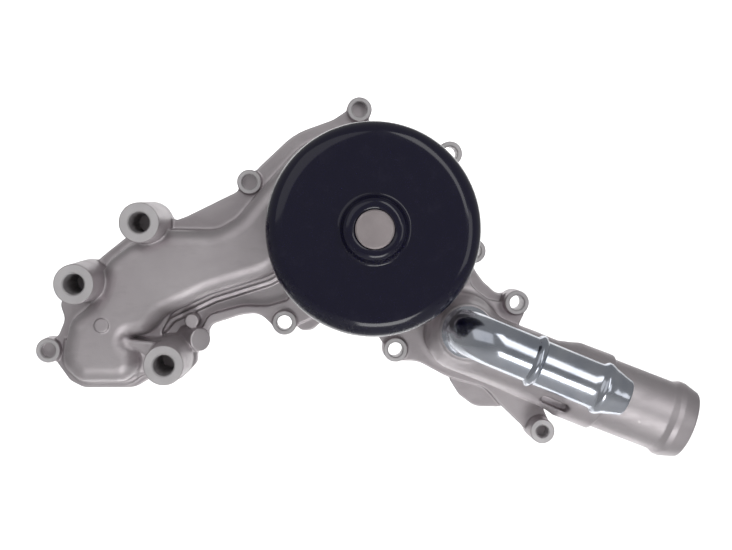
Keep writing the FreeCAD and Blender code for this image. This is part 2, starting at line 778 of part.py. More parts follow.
def build_gasket_carrier():
    """The steel sheet of the gasket, with a window round each water passage."""
    thick = D.gasket_thick
    ears = OPEN_BOSSES + CLOSED_BOSSES + [LOW_BOSS, CORNER_BOSS]
    sheet = [
        slab("arm_sheet", ARM_FLANGE, 0, thick),
        slab("inlet_sheet", INLET_FLANGE, 0, thick),
        column("scroll_sheet", (0, 0), D.flange_radius, 0, thick),
    ]
    sheet += columns("ear", ears, D.boss_radius, 0, thick)
    windows = []
    for k, wire in enumerate(window_wires(D.bead_width.number), start=1):
        owner = body(f"window_{k}")
        drawing = sketch(owner, f"window_{k}_outline", "XZ_Plane", lift=-1)
        draw_wires(drawing, [wire])
        pad(owner, drawing, thick + 2)
        windows.append(owner)
    bolts = OPEN_BOSSES + [LOW_BOSS]
    windows += columns("bolt_clearance", bolts, D.bolt_hole + 0.5, -1, thick + 1)
    return hollowed("gasket_carrier", joined("gasket_sheet", sheet), windows)


def build_gasket_beads():
    """The rubber bonded to the edges of the gasket's windows."""
    parts = []
    for name, index in (("gasket_bead_main", 0), ("gasket_bead_port", 1)):
        owner = body(name)
        drawing = sketch(owner, f"{name}_band", "XZ_Plane")
        outer = window_wires(D.bead_width.number)[index]
        inner = window_wires(0.3)[index]
        draw_wires(drawing, [outer, inner])
        pad(owner, drawing, D.gasket_thick)
        parts.append(owner)
    return parts


# ---------------------------------------------------------------------------------------------
# Return tube


def build_tube():
    """The bent steel tube, made along +X and turned down into place."""
    owner = body("heater_return_tube")
    inner = D.tube_radius - D.tube_wall
    leg = sketch(owner, "leg_rings", "XZ_Plane", lift=D.tube_foot)
    circle(leg, (0, 0), D.tube_radius)
    circle(leg, (0, 0), inner)
    straight_start = D.tube_height - D.tube_bend
    pad(owner, leg, straight_start - D.tube_foot, "leg")

    bend = sketch(owner, "bend_rings", "XZ_Plane", lift=straight_start)
    bend.AttachmentOffset = FreeCAD.Placement(
        Vector(D.tube_bend.number, 0, straight_start.number), FreeCAD.Rotation()
    )
    bind(bend, ".AttachmentOffset.Base.x", D.tube_bend)
    bind(bend, ".AttachmentOffset.Base.z", straight_start)
    circle(bend, (-D.tube_bend, 0), D.tube_radius)
    circle(bend, (-D.tube_bend, 0), inner)
    made = owner.newObject("PartDesign::Revolution", "bend")
    made.Profile = bend
    made.ReferenceAxis = (bend, ["V_Axis"])
    made.Angle = 90.0
    DOCUMENT.recompute()
    if made.Shape.BoundBox.YMin > -D.tube_height.number:
        made.Reversed = True
    finish(owner, made)

    run = sketch(owner, "run_profile", "XY_Plane")
    run.AttachmentOffset = FreeCAD.Placement(Vector(0, -D.tube_height.number, 0), FreeCAD.Rotation())
    bind(run, ".AttachmentOffset.Base.y", -D.tube_height)
    points = [(D.tube_bend, inner), (D.tube_bend, D.tube_radius)]
    for bead in (D.first_bead, D.second_bead):
        points += [
            (bead - D.bead_foot, D.tube_radius),
            (bead - D.bead_land, D.bead_radius),
            (bead + D.bead_land, D.bead_radius),
            (bead + D.bead_foot, D.tube_radius),
        ]
    tip_wall = D.tip_radius - D.tube_wall
    points += [
        (D.tube_tip - D.tip_length, D.tube_radius),
        (D.tube_tip, D.tip_radius),
        (D.tube_tip, tip_wall),
        (D.tube_tip - D.tip_length, inner),
    ]
    polygon(run, points)
    turn(owner, run, "run", axis="H_Axis")

    flare = sketch(owner, "flare_profile", "XY_Plane")
    top = -D.socket_top
    rim = D.tube_radius + D.flare_out
    polygon(
        flare,
        [
            (inner + D.root_overlap, top),
            (rim, top),
            (rim, top - D.flare_step),
            (rim - 1, top - D.flare_height),
            (inner + D.root_overlap, top - D.flare_height),
        ],
    )
    turn(owner, flare, "flare")
    place_at_socket(owner)
    return owner


def place_at_socket(owner):
    """Moves a piece made round its own Y axis onto the socket of the return tube."""
    owner.Placement = FreeCAD.Placement(
        Vector(D.tube_x.number, 0, D.tube_z.number),
        FreeCAD.Rotation(Vector(0, 1, 0), D.tube_angle.number),
    )
    bind(owner, ".Placement.Base.x", D.tube_x)
    bind(owner, ".Placement.Base.z", D.tube_z)
    bind(owner, ".Placement.Rotation.Angle", D.tube_angle)


def build_tube_ring():
    """The rubber ring between the tube and its socket."""
    top = D.socket_top - 0.2
    owner = turned_body(
        "tube_sealing_ring",
        tube_loop(D.tube_radius, D.tube_radius + D.ring_wall, top - 2.1, top),
    )
    place_at_socket(owner)
    return owner


# ---------------------------------------------------------------------------------------------
# Rotor: shaft, pulley and impeller


def build_shaft():
    """The integral bearing shaft."""
    owner = turned_body(
        "pump_shaft",
        [
            (0, D.shaft_rear),
            (D.shaft_thin, D.shaft_rear),
            (D.shaft_thin, D.shaft_step),
            (D.shaft_thick, D.shaft_step),
            (D.shaft_thick, D.shaft_front),
            (0, D.shaft_front),
        ],
    )
    soften(
        owner,
        D.shaft_chamfer,
        ring_edge(D.shaft_thick, D.shaft_front),
        "front_chamfer",
        kind="Chamfer",
    )
    cut_ball_groove(owner)
    return owner


def cut_ball_groove(owner):
    """The round groove that the bearing balls run in."""
    drawing = sketch(owner, "ball_groove_section", "XY_Plane")
    circle(drawing, (D.pitch_radius, -D.ball_row), D.groove_radius)
    groove(owner, drawing, "ball_groove")


def build_pulley():
    """The stamped belt pulley: a smooth cup with a raised centre."""
    wall = D.pulley_wall
    owner = turned_body(
        "belt_pulley",
        [
            (D.shaft_thick, D.dome_front),
            (D.dome_radius, D.dome_front),
            (D.dome_radius, D.pulley_front),
            (D.pulley_radius, D.pulley_front),
            (D.pulley_radius, D.pulley_back),
            (D.pulley_radius - wall, D.pulley_back),
            (D.pulley_radius - wall, D.pulley_front - wall),
            (D.dome_radius - wall, D.pulley_front - wall),
            (D.dome_radius - wall, D.dome_front - wall),
            (D.shaft_thick, D.dome_front - wall),
        ],
    )
    soften(owner, D.pulley_round, ring_edge(D.pulley_radius, D.pulley_front), "rim_round")
    inside = ring_edge(D.pulley_radius - wall, D.pulley_front - wall)
    soften(owner, D.pulley_round - wall, inside, "rim_inside")
    soften(owner, D.dome_round, ring_edge(D.dome_radius, D.dome_front), "dome_round")
    soften(owner, D.dome_foot, ring_edge(D.dome_radius, D.pulley_front), "dome_foot")
    soften(owner, D.rim_edge, ring_edge(D.pulley_radius, D.pulley_back), "rear_edge")
    return owner


def build_hub():
    """The steel hub pressed on the shaft behind the pulley's raised centre."""
    front = D.dome_front - D.pulley_wall
    outer = D.dome_radius - D.pulley_wall
    owner = turned_body("pulley_hub", tube_loop(D.shaft_thick, outer, D.hub_rear, front))
    soften(owner, 0.8, ring_edge(outer, D.hub_rear), "rear_chamfer", kind="Chamfer")
    return owner


def vane_section(inner, outer, sweep, wall):
    """A curved vane between two radii: two arcs about one centre, joined by lines."""
    places = []
    for share in (0.0, 0.5, 1.0):
        radius = inner + (outer - inner) * share
        angle = -math.radians(sweep) * share**1.4
        places.append(Vector(radius * math.cos(angle), radius * math.sin(angle), 0))
    curve = Part.Arc(*places).toShape().Curve
    centre, mean = curve.Center, curve.Radius
    sides = []
    for shift in (-wall / 2, wall / 2):
        sides.append([centre + (place - centre) * ((mean + shift) / mean) for place in places])
    near, far = sides
    return [
        Part.Arc(*near),
        Part.LineSegment(near[2], far[2]),
        Part.Arc(*reversed(far)),
        Part.LineSegment(far[0], near[0]),
    ]


def build_impeller():
    """The moulded impeller: a plate with curved vanes that face the engine."""
    plate_rear = D.impeller_front - D.impeller_plate
    hub = D.bush_radius + D.hub_wall
    owner = turned_body(
        "impeller",
        [
            (D.bush_radius, D.impeller_front),
            (D.impeller_radius, D.impeller_front),
            (D.impeller_radius, plate_rear),
            (hub, plate_rear),
            (hub, D.hub_back),
            (D.bush_radius, D.hub_back),
        ],
    )
    drawing = sketch(owner, "vane_section", "XZ_Plane", lift=D.impeller_rear)
    root = hub.number - 1
    tip = D.impeller_radius.number - 0.6
    for edge in vane_section(root, tip, D.vane_sweep.number, D.vane_wall.number):
        index = drawing.addGeometry(edge, False)
        drawing.addConstraint(Sketcher.Constraint("Block", index))
    vane = pad(owner, drawing, plate_rear - D.impeller_rear + D.vane_overlap, "vane")
    pattern = owner.newObject("PartDesign::PolarPattern", "vanes")
    pattern.Originals = [vane]
    pattern.Axis = (plane(owner, "Y_Axis"), [""])
    pattern.Angle = 360.0
    bind(pattern, "Occurrences", D.vane_count)
    owner.Tip = pattern
    finish(owner, pattern)
    return owner


def build_impeller_bush():
    """The steel bush that the impeller is moulded round."""
    return turned_body(
        "impeller_bush", tube_loop(D.shaft_thin, D.bush_radius, D.hub_back - 1, D.impeller_front)
    )


def build_slinger():
    """The disc that throws leaked water off the shaft into the weep chamber."""
    low = D.weep_floor + 0.6
    return turned_body(
        "shaft_slinger",
        [
            (D.shaft_thin, low),
            (D.slinger_radius, low),
            (D.slinger_radius, low + 1),
            (D.shaft_thin + 1.5, low + 1),
            (D.shaft_thin + 1.5, low + 3.4),
            (D.shaft_thin, low + 3.4),
        ],
    )


# ---------------------------------------------------------------------------------------------
# Bearing


def build_bearing_ring():
    """The outer ring of the bearing, pressed into the snout."""
    owner = turned_body(
        "bearing_outer_ring",
        tube_loop(D.race_inner, D.race_outer, D.race_rear, D.race_front),
    )
    cut_ball_groove(owner)
    return owner


def orbit(kind, label, count, radius, low, length=None):
    """Balls or rollers set evenly on the pitch circle, as one group of separate solids."""
    made = []
    for k in range(round(count.number)):
        one = DOCUMENT.addObject(f"Part::{kind}", f"{label}_{k + 1}")
        bind(one, "Radius", radius)
        if length is not None:
            bind(one, "Height", length)
        angle = 2 * math.pi * k / count.number
        x = D.pitch_radius.number * math.cos(angle)
        z = D.pitch_radius.number * math.sin(angle)
        along = FreeCAD.Rotation(Vector(1, 0, 0), 90)
        one.Placement = FreeCAD.Placement(Vector(x, -size(low).number, z), along)
        bind(one, ".Placement.Base.x", D.pitch_radius * math.cos(angle))
        bind(one, ".Placement.Base.y", -size(low))
        bind(one, ".Placement.Base.z", D.pitch_radius * math.sin(angle))
        made.append(one)
    group = DOCUMENT.addObject("Part::Compound", label)
    group.Label = label
    group.Links = made
    return group


def build_cage(label, low, high, pockets):
    """A ring on the pitch circle with the pockets cut out of it."""
    rings = []
    for name, radius in (("outside", D.cage_outer), ("inside", D.cage_inner)):
        ring = DOCUMENT.addObject("Part::Cylinder", f"{label}_{name}")
        bind(ring, "Radius", radius)
        bind(ring, "Height", size(high) - low)
        turned = FreeCAD.Rotation(Vector(1, 0, 0), 90)
        ring.Placement = FreeCAD.Placement(Vector(0, -size(low).number, 0), turned)
        bind(ring, ".Placement.Base.y", -size(low))
        rings.append(ring)
    blank = DOCUMENT.addObject("Part::Cut", f"{label}_blank")
    blank.Base, blank.Tool = rings
    cage = DOCUMENT.addObject("Part::Cut", label)
    cage.Label = label
    cage.Base = blank
    cage.Tool = pockets
    DOCUMENT.recompute()
    return cage


def build_bearing_rows():
    """Balls, rollers and their cages."""
    balls = orbit("Sphere", "bearing_balls", D.ball_count, D.ball_radius, D.ball_row)
    room = D.ball_radius + D.cage_gap
    pockets = orbit("Sphere", "ball_pockets", D.ball_count, room, D.ball_row)
    ball_cage = build_cage("ball_cage", D.ball_row - 5.4, D.ball_row + 1.2, pockets)
    start, length = D.roller_start, D.roller_length
    rollers = orbit(
        "Cylinder", "bearing_rollers", D.roller_count, D.roller_radius, start, length
    )
    room = D.roller_radius + D.cage_gap
    pockets = orbit(
        "Cylinder",
        "roller_pockets",
        D.roller_count,
        room,
        start - D.cage_gap,
        length + D.cage_gap * 2,
    )
    roller_cage = build_cage("roller_cage", start - 1.6, start + length + 1.6, pockets)
    return [balls, ball_cage, rollers, roller_cage]


def build_bearing_seals():
    """The lip seals at both ends of the bearing. Their lips stop just short of the shaft."""
    lip = D.shaft_thick + 0.08
    front = D.race_front - 3.2
    rear = D.race_rear + 1.4
    return [
        turned_body("bearing_seal_front", tube_loop(lip, D.race_inner, front, front + 2)),
        turned_body("bearing_seal_rear", tube_loop(lip, D.race_inner, rear, rear + 2)),
    ]


# ---------------------------------------------------------------------------------------------
# Shaft seal


def build_seal_case():
    """The pressed metal cup that holds the shaft seal in the body."""
    wall = D.case_wall
    return turned_body(
        "seal_case",
        [
            (D.case_flange, D.cavity_roof),
            (D.case_flange, D.cavity_roof + wall),
            (D.case_radius, D.cavity_roof + wall),
            (D.case_radius, D.case_floor),
            (10.0, D.case_floor),
            (10.0, D.case_floor - wall),
            (D.case_radius - wall, D.case_floor - wall),
            (D.case_radius - wall, D.cavity_roof),
        ],
    )


def build_bellows():
    """The rubber boot that lets the carbon ring slide along the shaft."""
    floor = D.case_floor - D.case_wall
    back = D.face_height + 4.8
    return turned_body(
        "seal_bellows",
        [
            (9.2, back),
            (D.carbon_outer, back),
            (D.carbon_outer, back + 0.8),
            (10.4, back + 0.8),
            (10.4, floor - 0.9),
            (D.case_radius - D.case_wall, floor - 0.9),
            (D.case_radius - D.case_wall, floor),
            (9.2, floor),
        ],
    )


def build_carbon_ring():
    """The stationary carbon ring, with a narrow nose that runs on the mating ring."""
    nose = D.face_height + 0.05
    return turned_body(
        "seal_carbon_ring",
        [
            (9.6, nose),
            (11.8, nose),
            (11.8, nose + 1.6),
            (D.carbon_outer, nose + 1.6),
            (D.carbon_outer, D.face_height + 4.8),
            (D.carbon_inner, D.face_height + 4.8),
            (D.carbon_inner, nose + 1.6),
            (9.6, nose + 1.6),
        ],
    )


def build_mating_ring():
    """The hard ring that turns with the shaft."""
    low = D.impeller_front + 1
    return turned_body("seal_mating_ring", tube_loop(9.6, 14.2, low, D.face_height))


def build_mating_cup():
    """The rubber cup that carries the hard ring on the shaft."""
    low = D.impeller_front
    return turned_body(
        "mating_ring_cup",
        [
            (D.shaft_thin, low),
            (14.2, low),
            (14.2, low + 1),
            (9.6, low + 1),
            (9.6, D.face_height - 0.3),
            (D.shaft_thin, D.face_height - 0.3),
        ],
    )


def build_seal_spring():
    """The coil spring that pushes the carbon ring onto its mating ring."""
    low = D.face_height + 5.2
    high = D.case_floor - D.case_wall - 1.8
    helix = DOCUMENT.addObject("Part::Helix", "spring_path")
    helix.LocalCoord = 0
    helix.SegmentLength = 0.25
    bind(helix, "Pitch", (high - low) / 2)
    bind(helix, "Height", high - low)
    bind(helix, "Radius", D.spring_radius)
    wire = DOCUMENT.addObject("Part::Circle", "spring_wire_section")
    bind(wire, "Radius", D.spring_wire)
    wire.Placement = FreeCAD.Placement(
        Vector(D.spring_radius.number, 0, 0), FreeCAD.Rotation(Vector(1, 0, 0), 90)
    )
    bind(wire, ".Placement.Base.x", D.spring_radius)
    DOCUMENT.recompute()
    spring = DOCUMENT.addObject("Part::Sweep", "seal_spring")
    spring.Label = "seal_spring"
    spring.Sections = [wire]
    spring.Spine = (helix, [f"Edge{k + 1}" for k in range(len(helix.Shape.Edges))])
    spring.Solid = True
    spring.Frenet = True
    spring.Placement = FreeCAD.Placement(
        Vector(0, -low.number, 0), FreeCAD.Rotation(Vector(1, 0, 0), 90)
    )
    bind(spring, ".Placement.Base.y", -low)
    return spring


# ---------------------------------------------------------------------------------------------


def check(parts):
    """Stops if any object failed or any sub-part isn't sound."""
    DOCUMENT.recompute()
    for thing in DOCUMENT.Objects:
        if "Invalid" in thing.State or "Error" in thing.State:
            raise RuntimeError(f"{thing.Label} is in state {thing.State}")
    for one in parts:
        if one.Shape.isNull() or not one.Shape.isValid() or not one.Shape.Solids:
            raise RuntimeError(f"{one.Label} has no sound shape")
        print(f"{one.Label}: {len(one.Shape.Solids)} solid, {one.Shape.Volume / 1000:.2f} cm3")


def main():
    """Builds every sub-part and writes one STEP file for each."""
    parts = [
        build_housing(),
        build_gasket_carrier(),
        *build_gasket_beads(),
        build_tube(),
        build_tube_ring(),
        build_shaft(),
        build_pulley(),
        build_hub(),
        build_impeller(),
        build_impeller_bush(),
        build_slinger(),
        build_bearing_ring(),
        *build_bearing_rows(),
        *build_bearing_seals(),
        build_seal_case(),
        build_bellows(),
        build_carbon_ring(),
        build_mating_ring(),
        build_mating_cup(),
        build_seal_spring(),
    ]
    check(parts)
    os.makedirs("parts", exist_ok=True)
    for one in parts:
        one.Shape.exportStep(f"parts/{one.Label}.step")


main()
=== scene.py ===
import math

import bmesh
import bpy
import numpy as np
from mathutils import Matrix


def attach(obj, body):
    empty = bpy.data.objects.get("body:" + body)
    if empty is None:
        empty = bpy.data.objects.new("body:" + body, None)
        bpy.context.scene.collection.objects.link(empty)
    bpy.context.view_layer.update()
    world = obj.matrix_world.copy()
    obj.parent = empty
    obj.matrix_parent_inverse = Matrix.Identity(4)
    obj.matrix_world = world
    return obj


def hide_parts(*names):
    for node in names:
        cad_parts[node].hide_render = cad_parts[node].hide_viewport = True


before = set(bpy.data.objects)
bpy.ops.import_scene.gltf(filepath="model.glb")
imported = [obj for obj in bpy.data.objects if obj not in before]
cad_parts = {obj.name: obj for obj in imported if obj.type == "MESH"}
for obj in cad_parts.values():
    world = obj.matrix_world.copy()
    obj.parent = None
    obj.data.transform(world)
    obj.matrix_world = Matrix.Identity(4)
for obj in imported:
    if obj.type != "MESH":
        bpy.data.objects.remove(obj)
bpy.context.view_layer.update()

import openvdb
from mathutils import Vector

# Looks of the coolant pump. The casting is one smooth volume, drawn from cast slabs, bosses and
# tubes that flow into each other, and meshed from its distance field. Machined faces, the pulley,
# the tube and the shaft end are turned or swept pieces of their own.
#
# Lengths are in millimetres in the row frame, given as x, height, z. Height is the distance in
# front of the engine-side face, so it is -Y. MM turns them into Blender's metres. VOXEL is the
# cell of the distance field, FAR is the distance of a point that nothing is near, and PAST is
# how far a cut runs past the face that it opens.

MM = 0.001
VOXEL = 0.55
FAR = 40.0
PAST = 3.0

# ---------------------------------------------------------------------------------------------
# Sizes

# flange and the pockets in it
REAR = 1.0
RAIL_TOP = 11.5
RAIL_EDGE = 0.7
DISC_RADIUS = 50.0
LOBE_TOP = 4.5
POCKET_FLOOR = 5.0
LOW_LEDGE_FLOOR = 8.0
POCKET_CUT_TOP = RAIL_TOP + 4.0

# water channel, and the ledges round its foot: top, reach beyond it and edge radius of each
CHANNEL_TOP = 30.0
CHANNEL_ROUND = 8.0
CHANNEL_ROOF = 26.0
CHANNEL_ROOF_ROUND = 3.0
ARM_LEDGES = [(7.4, 5.2, 1.8), (10.0, 2.6, 1.9)]
LEDGE_FILLET = 0.6
CHAMBER_FOOT_TOP = 14.5
CHAMBER_FOOT_REACH = 2.4

# dome over the impeller, snout for the bearing, and the bores in them
DOME_RADIUS = 45.0
DOME_TOP = 24.0
DOME_ROUND = 4.0
SNOUT_RADIUS = 22.5
SNOUT_FOOT = 10.0
SNOUT_FRONT = 65.2
SNOUT_DRAFT = 0.02
BEARING_BORE = 19.05
BEARING_SHOULDER = 30.6
SEAL_BORE = 18.25
SEAL_FLOOR = 12.0
CAVITY_RADIUS = 37.0
CAVITY_ROOF = 14.5

# bosses. HOLE_PLAY is how much wider the cast hole is than the turned lining in it
BOLT_HOLE = 3.5
HOLE_PLAY = 0.25
BOSS_RADIUS = 5.85
BOSS_TOP = 15.0
BOSS_DRAFT = 0.015
CLOSED_DEPTH = 5.0
LOW_BOSS_TOP = 18.0
CORNER_BOSS_TOP = 24.0
CORNER_HOLE = 2.8
TALL_RADIUS = 9.0
TALL_TOP = 55.0
TALL_DRAFT = 0.022
TALL_HOLE = 4.25
TALL_HOLE_FLOOR = 20.0
TALL_MOUTH = 4.75
TALL_MOUTH_DEPTH = 8.0
PAD_RADIUS = 3.3
PAD_FOOT = 20.0
PAD_TOP = CHANNEL_TOP + 0.7
PEG_RADIUS = 3.4
LEAN_ANGLE = math.radians(36)
LEAN_RADIUS = 5.6
LEAN_REACH = 2.8
LEAN_ROOT = -12.0
WEB_TOP = 27.5
BOSS_ROOT_TOP = 17.0

# machined face of each kind of boss: its height and radius, the radius and depth of its hole,
# the chamfer, and how much wider the hole is at its mouth
OPEN_FACE = (BOSS_TOP, 5.45, BOLT_HOLE, 8.4, 0.5, 0.0)
CLOSED_FACE = (BOSS_TOP, 5.45, BOLT_HOLE, 4.9, 0.5, 0.0)
LOW_FACE = (LOW_BOSS_TOP, 5.45, BOLT_HOLE, 16.0, 0.5, 0.0)
CORNER_FACE = (CORNER_BOSS_TOP, 5.45, CORNER_HOLE, 8.6, 0.6, 0.0)
TALL_FACE = (TALL_TOP, 8.6, TALL_HOLE, 34.6, 0.6, 0.5)

OPEN_BOSSES = [(39.0, 36.1), (50.5, -10.6), (12.9, -58.1), (-40.4, -44.9)]
CLOSED_BOSSES = [(-4.4, 57.0), (-57.0, 22.4), (-152.7, -57.8)]
LOW_BOSS = (71.1, -35.4)
CORNER_BOSS = (82.7, -96.6)
TALL_BOSSES = [(-104.3, 3.0), (-133.5, -24.5), (-93.8, -61.0)]
LEANING_BOSS = (-81.9, 14.0, -52.7)
CHAMBER_PAD = (-125.1, -44.9)
PEG = (-84.7, -43.9)

# hose inlet, its parts given as distance along the axis and radius
INLET_START = (48.0, 25.0, -53.4)
INLET_ANGLE = math.radians(21.3)
INLET_ROOT_TOP = 26.0
INLET_BODY = [(-19, 9.0), (-12, 14.5), (-8, 15.5), (52, 15.5)]
INLET_COLLAR = [(40, 15.5), (49, 18.4), (66.5, 18.6)]
NIPPLE = [(60, 17.0), (97.5, 17.0), (100.5, 18.4), (103, 18.4), (110.5, 16.2)]
INLET_BORE = [(-11, 11.5), (60, 11.5), (64, 14.0), (113, 14.0)]
PORT = (52.0, -55.0)
PORT_RADIUS = 10.5
PORT_ROOF = 25.0
SLOT = [(82.0, -79.8), (91.0, -83.6)]
SLOT_WIDTH = 3.4
SLOT_FLOOR = 30.6
SLOT_CUT_TOP = 45.0

# return tube and its socket
TUBE_SOCKET = (44.3, -47.4)
SOCKET_RADIUS = 13.2
SOCKET_DRAFT = 0.1
SOCKET_TOP = 42.0
SOCKET_FLOOR = 27.0
TUBE_ANGLE = math.radians(22.5)
TUBE_RADIUS = 10.5
TUBE_WALL = 1.2
TUBE_LIP_WALL = 0.7
TUBE_HEIGHT = 56.5
TUBE_BEND = 14.0
TUBE_TIP = 76.5
TUBE_BEAD = 31.5

# How far the tube stands out from its plain radius: at its flare, by height, and at its tapered
# end, by distance from the socket.
TUBE_FLARE = [
    (27.0, 0), (41.0, 0), (41.6, 0.3), (42.2, 1.1), (42.9, 1.6), (43.6, 1.5), (44.2, 0.7),
    (44.6, 0.15), (45.2, 0),
]
TUBE_END = [
    (36.0, 0), (58.0, 0), (61.0, 0.05), (61.9, 0.3), (62.6, 1.0), (63.3, 1.55), (64.0, 1.7),
    (65.0, 1.6), (66.2, 1.1), (67.6, 0.35), (69.0, 0.0), (71.0, -0.7), (73.5, -1.5),
    (75.6, -2.0), (76.2, -2.25), (TUBE_TIP, -2.6),
]

# Pieces of the frame that the pieces here stand in for.
REPLACED = ("housing", "belt_pulley", "pump_shaft", "heater_return_tube")

# Outlines of the casting: x, z and the radius of each corner.
ARM_FLANGE = [
    (0.0, 50.0, 3.0), (0.8, 53.0, 2.0), (-10.0, 57.0, 3.0), (-17.0, 52.3, 12.0),
    (-35.5, 45.6, 30.0), (-52.0, 30.0, 8.0), (-63.5, 17.6, 6.0), (-87.1, 6.0, 12.0),
    (-93.0, 3.8, 5.0), (-99.0, 8.0, 3.0), (-110.0, 0.0, 4.0), (-117.0, -4.8, 12.0),
    (-128.0, -13.6, 10.0), (-133.0, -20.0, 6.0), (-143.2, -26.0, 5.0), (-147.6, -36.0, 6.0),
    (-145.2, -43.0, 6.0), (-148.0, -50.0, 4.0), (-154.0, -57.0, 3.0), (-148.6, -64.6, 4.0),
    (-143.0, -72.6, 6.0), (-136.5, -76.0, 8.0), (-112.0, -76.0, 10.0), (-104.5, -71.5, 8.0),
    (-91.3, -72.8, 4.0), (-82.8, -64.4, 3.0), (-82.4, -58.8, 3.0), (-77.6, -56.0, 3.0),
    (-76.6, -46.2, 6.0), (-61.0, -41.2, 20.0), (-52.5, -40.4, 8.0), (-45.5, -47.0, 3.0),
    (-36.0, -47.0, 3.0), (-20.0, -40.0, 5.0), (0.0, 0.0, 5.0),
]
INLET_FLANGE = [
    (0.0, 0.0, 5.0), (49.0, -4.0, 5.0), (51.6, -19.5, 8.0), (56.0, -25.5, 10.0),
    (63.0, -31.8, 6.0), (71.0, -30.5, 3.0), (76.2, -40.0, 4.0), (72.8, -47.0, 6.0),
    (84.0, -84.0, 10.0), (88.0, -94.0, 4.0), (81.0, -101.8, 3.0), (64.3, -85.6, 10.0),
    (57.0, -77.2, 12.0), (38.5, -71.8, 20.0), (24.0, -64.0, 12.0), (13.0, -63.6, 3.0),
    (3.0, -49.5, 6.0),
]
CORNER_LOBE = [
    (60.0, -70.0, 2.0), (68.5, -87.5, 3.0), (52.5, -87.0, 8.0), (44.8, -81.3, 6.0),
    (39.0, -72.0, 4.0), (45.0, -66.0, 3.0),
]
SIDE_LOBE = [(-38.0, -50.0, 4.0), (-27.0, -49.2, 4.0), (-20.0, -43.0, 4.0), (-30.0, -36.0, 4.0)]
CHANNEL = [
    (-3.0, 44.0, 12.0), (-29.0, 42.8, 24.0), (-51.2, 18.6, 24.0), (-62.4, 5.0, 12.0),
    (-71.8, -0.8, 14.0), (-94.0, -0.4, 12.0), (-113.0, -7.6, 14.0), (-123.2, -15.4, 9.0),
    (-126.6, -28.0, 9.0), (-132.0, -36.5, 10.0), (-140.6, -43.4, 9.0), (-143.4, -57.0, 9.0),
    (-143.8, -64.6, 8.0), (-136.0, -71.8, 8.5), (-113.8, -71.8, 8.0), (-108.6, -65.0, 8.0),
    (-109.8, -56.5, 8.0), (-115.5, -50.8, 2.0), (-103.8, -49.6, 9.0), (-97.0, -41.0, 10.0),
    (-75.5, -30.8, 14.0), (-47.0, -22.0, 16.0), (-34.0, -10.0, 12.0), (-20.0, 2.0, 12.0),
    (-6.0, 26.0, 10.0),
]
CHANNEL_HOLLOW = [
    (-8.0, 40.5, 3.0), (-28.0, 38.4, 20.0), (-46.8, 17.5, 20.0), (-60.0, 1.2, 12.0),
    (-71.0, -5.0, 12.0), (-93.4, -4.8, 10.0), (-111.0, -11.4, 10.0), (-118.6, -17.2, 5.0),
    (-122.2, -29.4, 6.0), (-129.0, -40.0, 8.0), (-136.8, -46.0, 5.0), (-140.6, -58.2, 6.0),
    (-141.0, -65.2, 5.0), (-135.6, -70.0, 5.5), (-115.0, -70.0, 5.0), (-112.0, -66.0, 4.0),
    (-113.6, -58.6, 4.0), (-119.4, -53.4, 3.0), (-117.0, -48.6, 4.0), (-106.4, -45.8, 6.0),
    (-99.4, -37.2, 8.0), (-76.6, -26.4, 12.0), (-48.0, -17.6, 14.0), (-36.0, -6.0, 4.0),
    (-33.0, 8.0, 20.0), (-20.0, 28.0, 20.0),
]
WEB_POCKET = [
    (-38.0, -34.2, 3.0), (-48.2, -37.2, 6.0), (-61.0, -37.0, 20.0), (-77.0, -41.4, 6.0),
    (-80.0, -47.5, 3.0), (-90.0, -51.0, 3.0), (-100.6, -51.6, 2.0), (-92.0, -36.0, 4.0),
    (-50.0, -20.0, 6.0), (-38.0, -22.0, 4.0),
]
NOTCH_WEB = [(-119.0, -51.0, 1.2), (-97.0, -53.0, 2.0), (-92.0, -62.0, 2.0), (-100.0, -62.5, 2.0)]
BOSS_ROOT = [(-112.0, -55.0, 2.0), (-94.0, -54.0, 3.0), (-90.0, -68.0, 4.0), (-112.0, -69.5, 3.0)]
LEDGE_ZONE = [(-112.0, -54.0, 1.0), (-40.0, -34.0, 1.0), (-38.0, -10.0, 1.0), (-112.0, -20.0, 1.0)]
CHAMBER_ZONE = [(-150.0, -52.0, 1.0), (-104.0, -58.0, 1.0), (-104.0, -82.0, 1.0), (-150.0, -82.0, 1.0)]
LOW_LEDGE = [
    (46.0, -18.0, 1.0), (47.8, -20.8, 2.0), (50.2, -27.5, 3.0), (53.4, -31.0, 3.0),
    (57.5, -34.2, 3.0), (64.5, -35.4, 1.5), (66.5, -27.0, 1.0), (52.0, -12.0, 1.0),
]
INLET_ROOT = [
    (30.0, -44.0, 5.0), (27.0, -54.0, 8.0), (38.5, -66.0, 16.0), (60.0, -74.8, 20.0),
    (80.0, -84.0, 8.0), (97.0, -89.0, 4.0), (97.0, -58.0, 4.0), (79.0, -49.4, 10.0),
    (62.0, -43.2, 12.0), (52.0, -34.0, 10.0), (38.0, -32.0, 5.0),
]


# ---------------------------------------------------------------------------------------------
# Distance fields


def smooth_min(a, b, blend):
    """The smaller of two distances, with a fillet of about this size where they meet."""
    if blend <= 0:
        return np.minimum(a, b)
    overlap = np.maximum(blend - np.abs(a - b), 0) / blend
    return np.minimum(a, b) - overlap * overlap * blend / 4


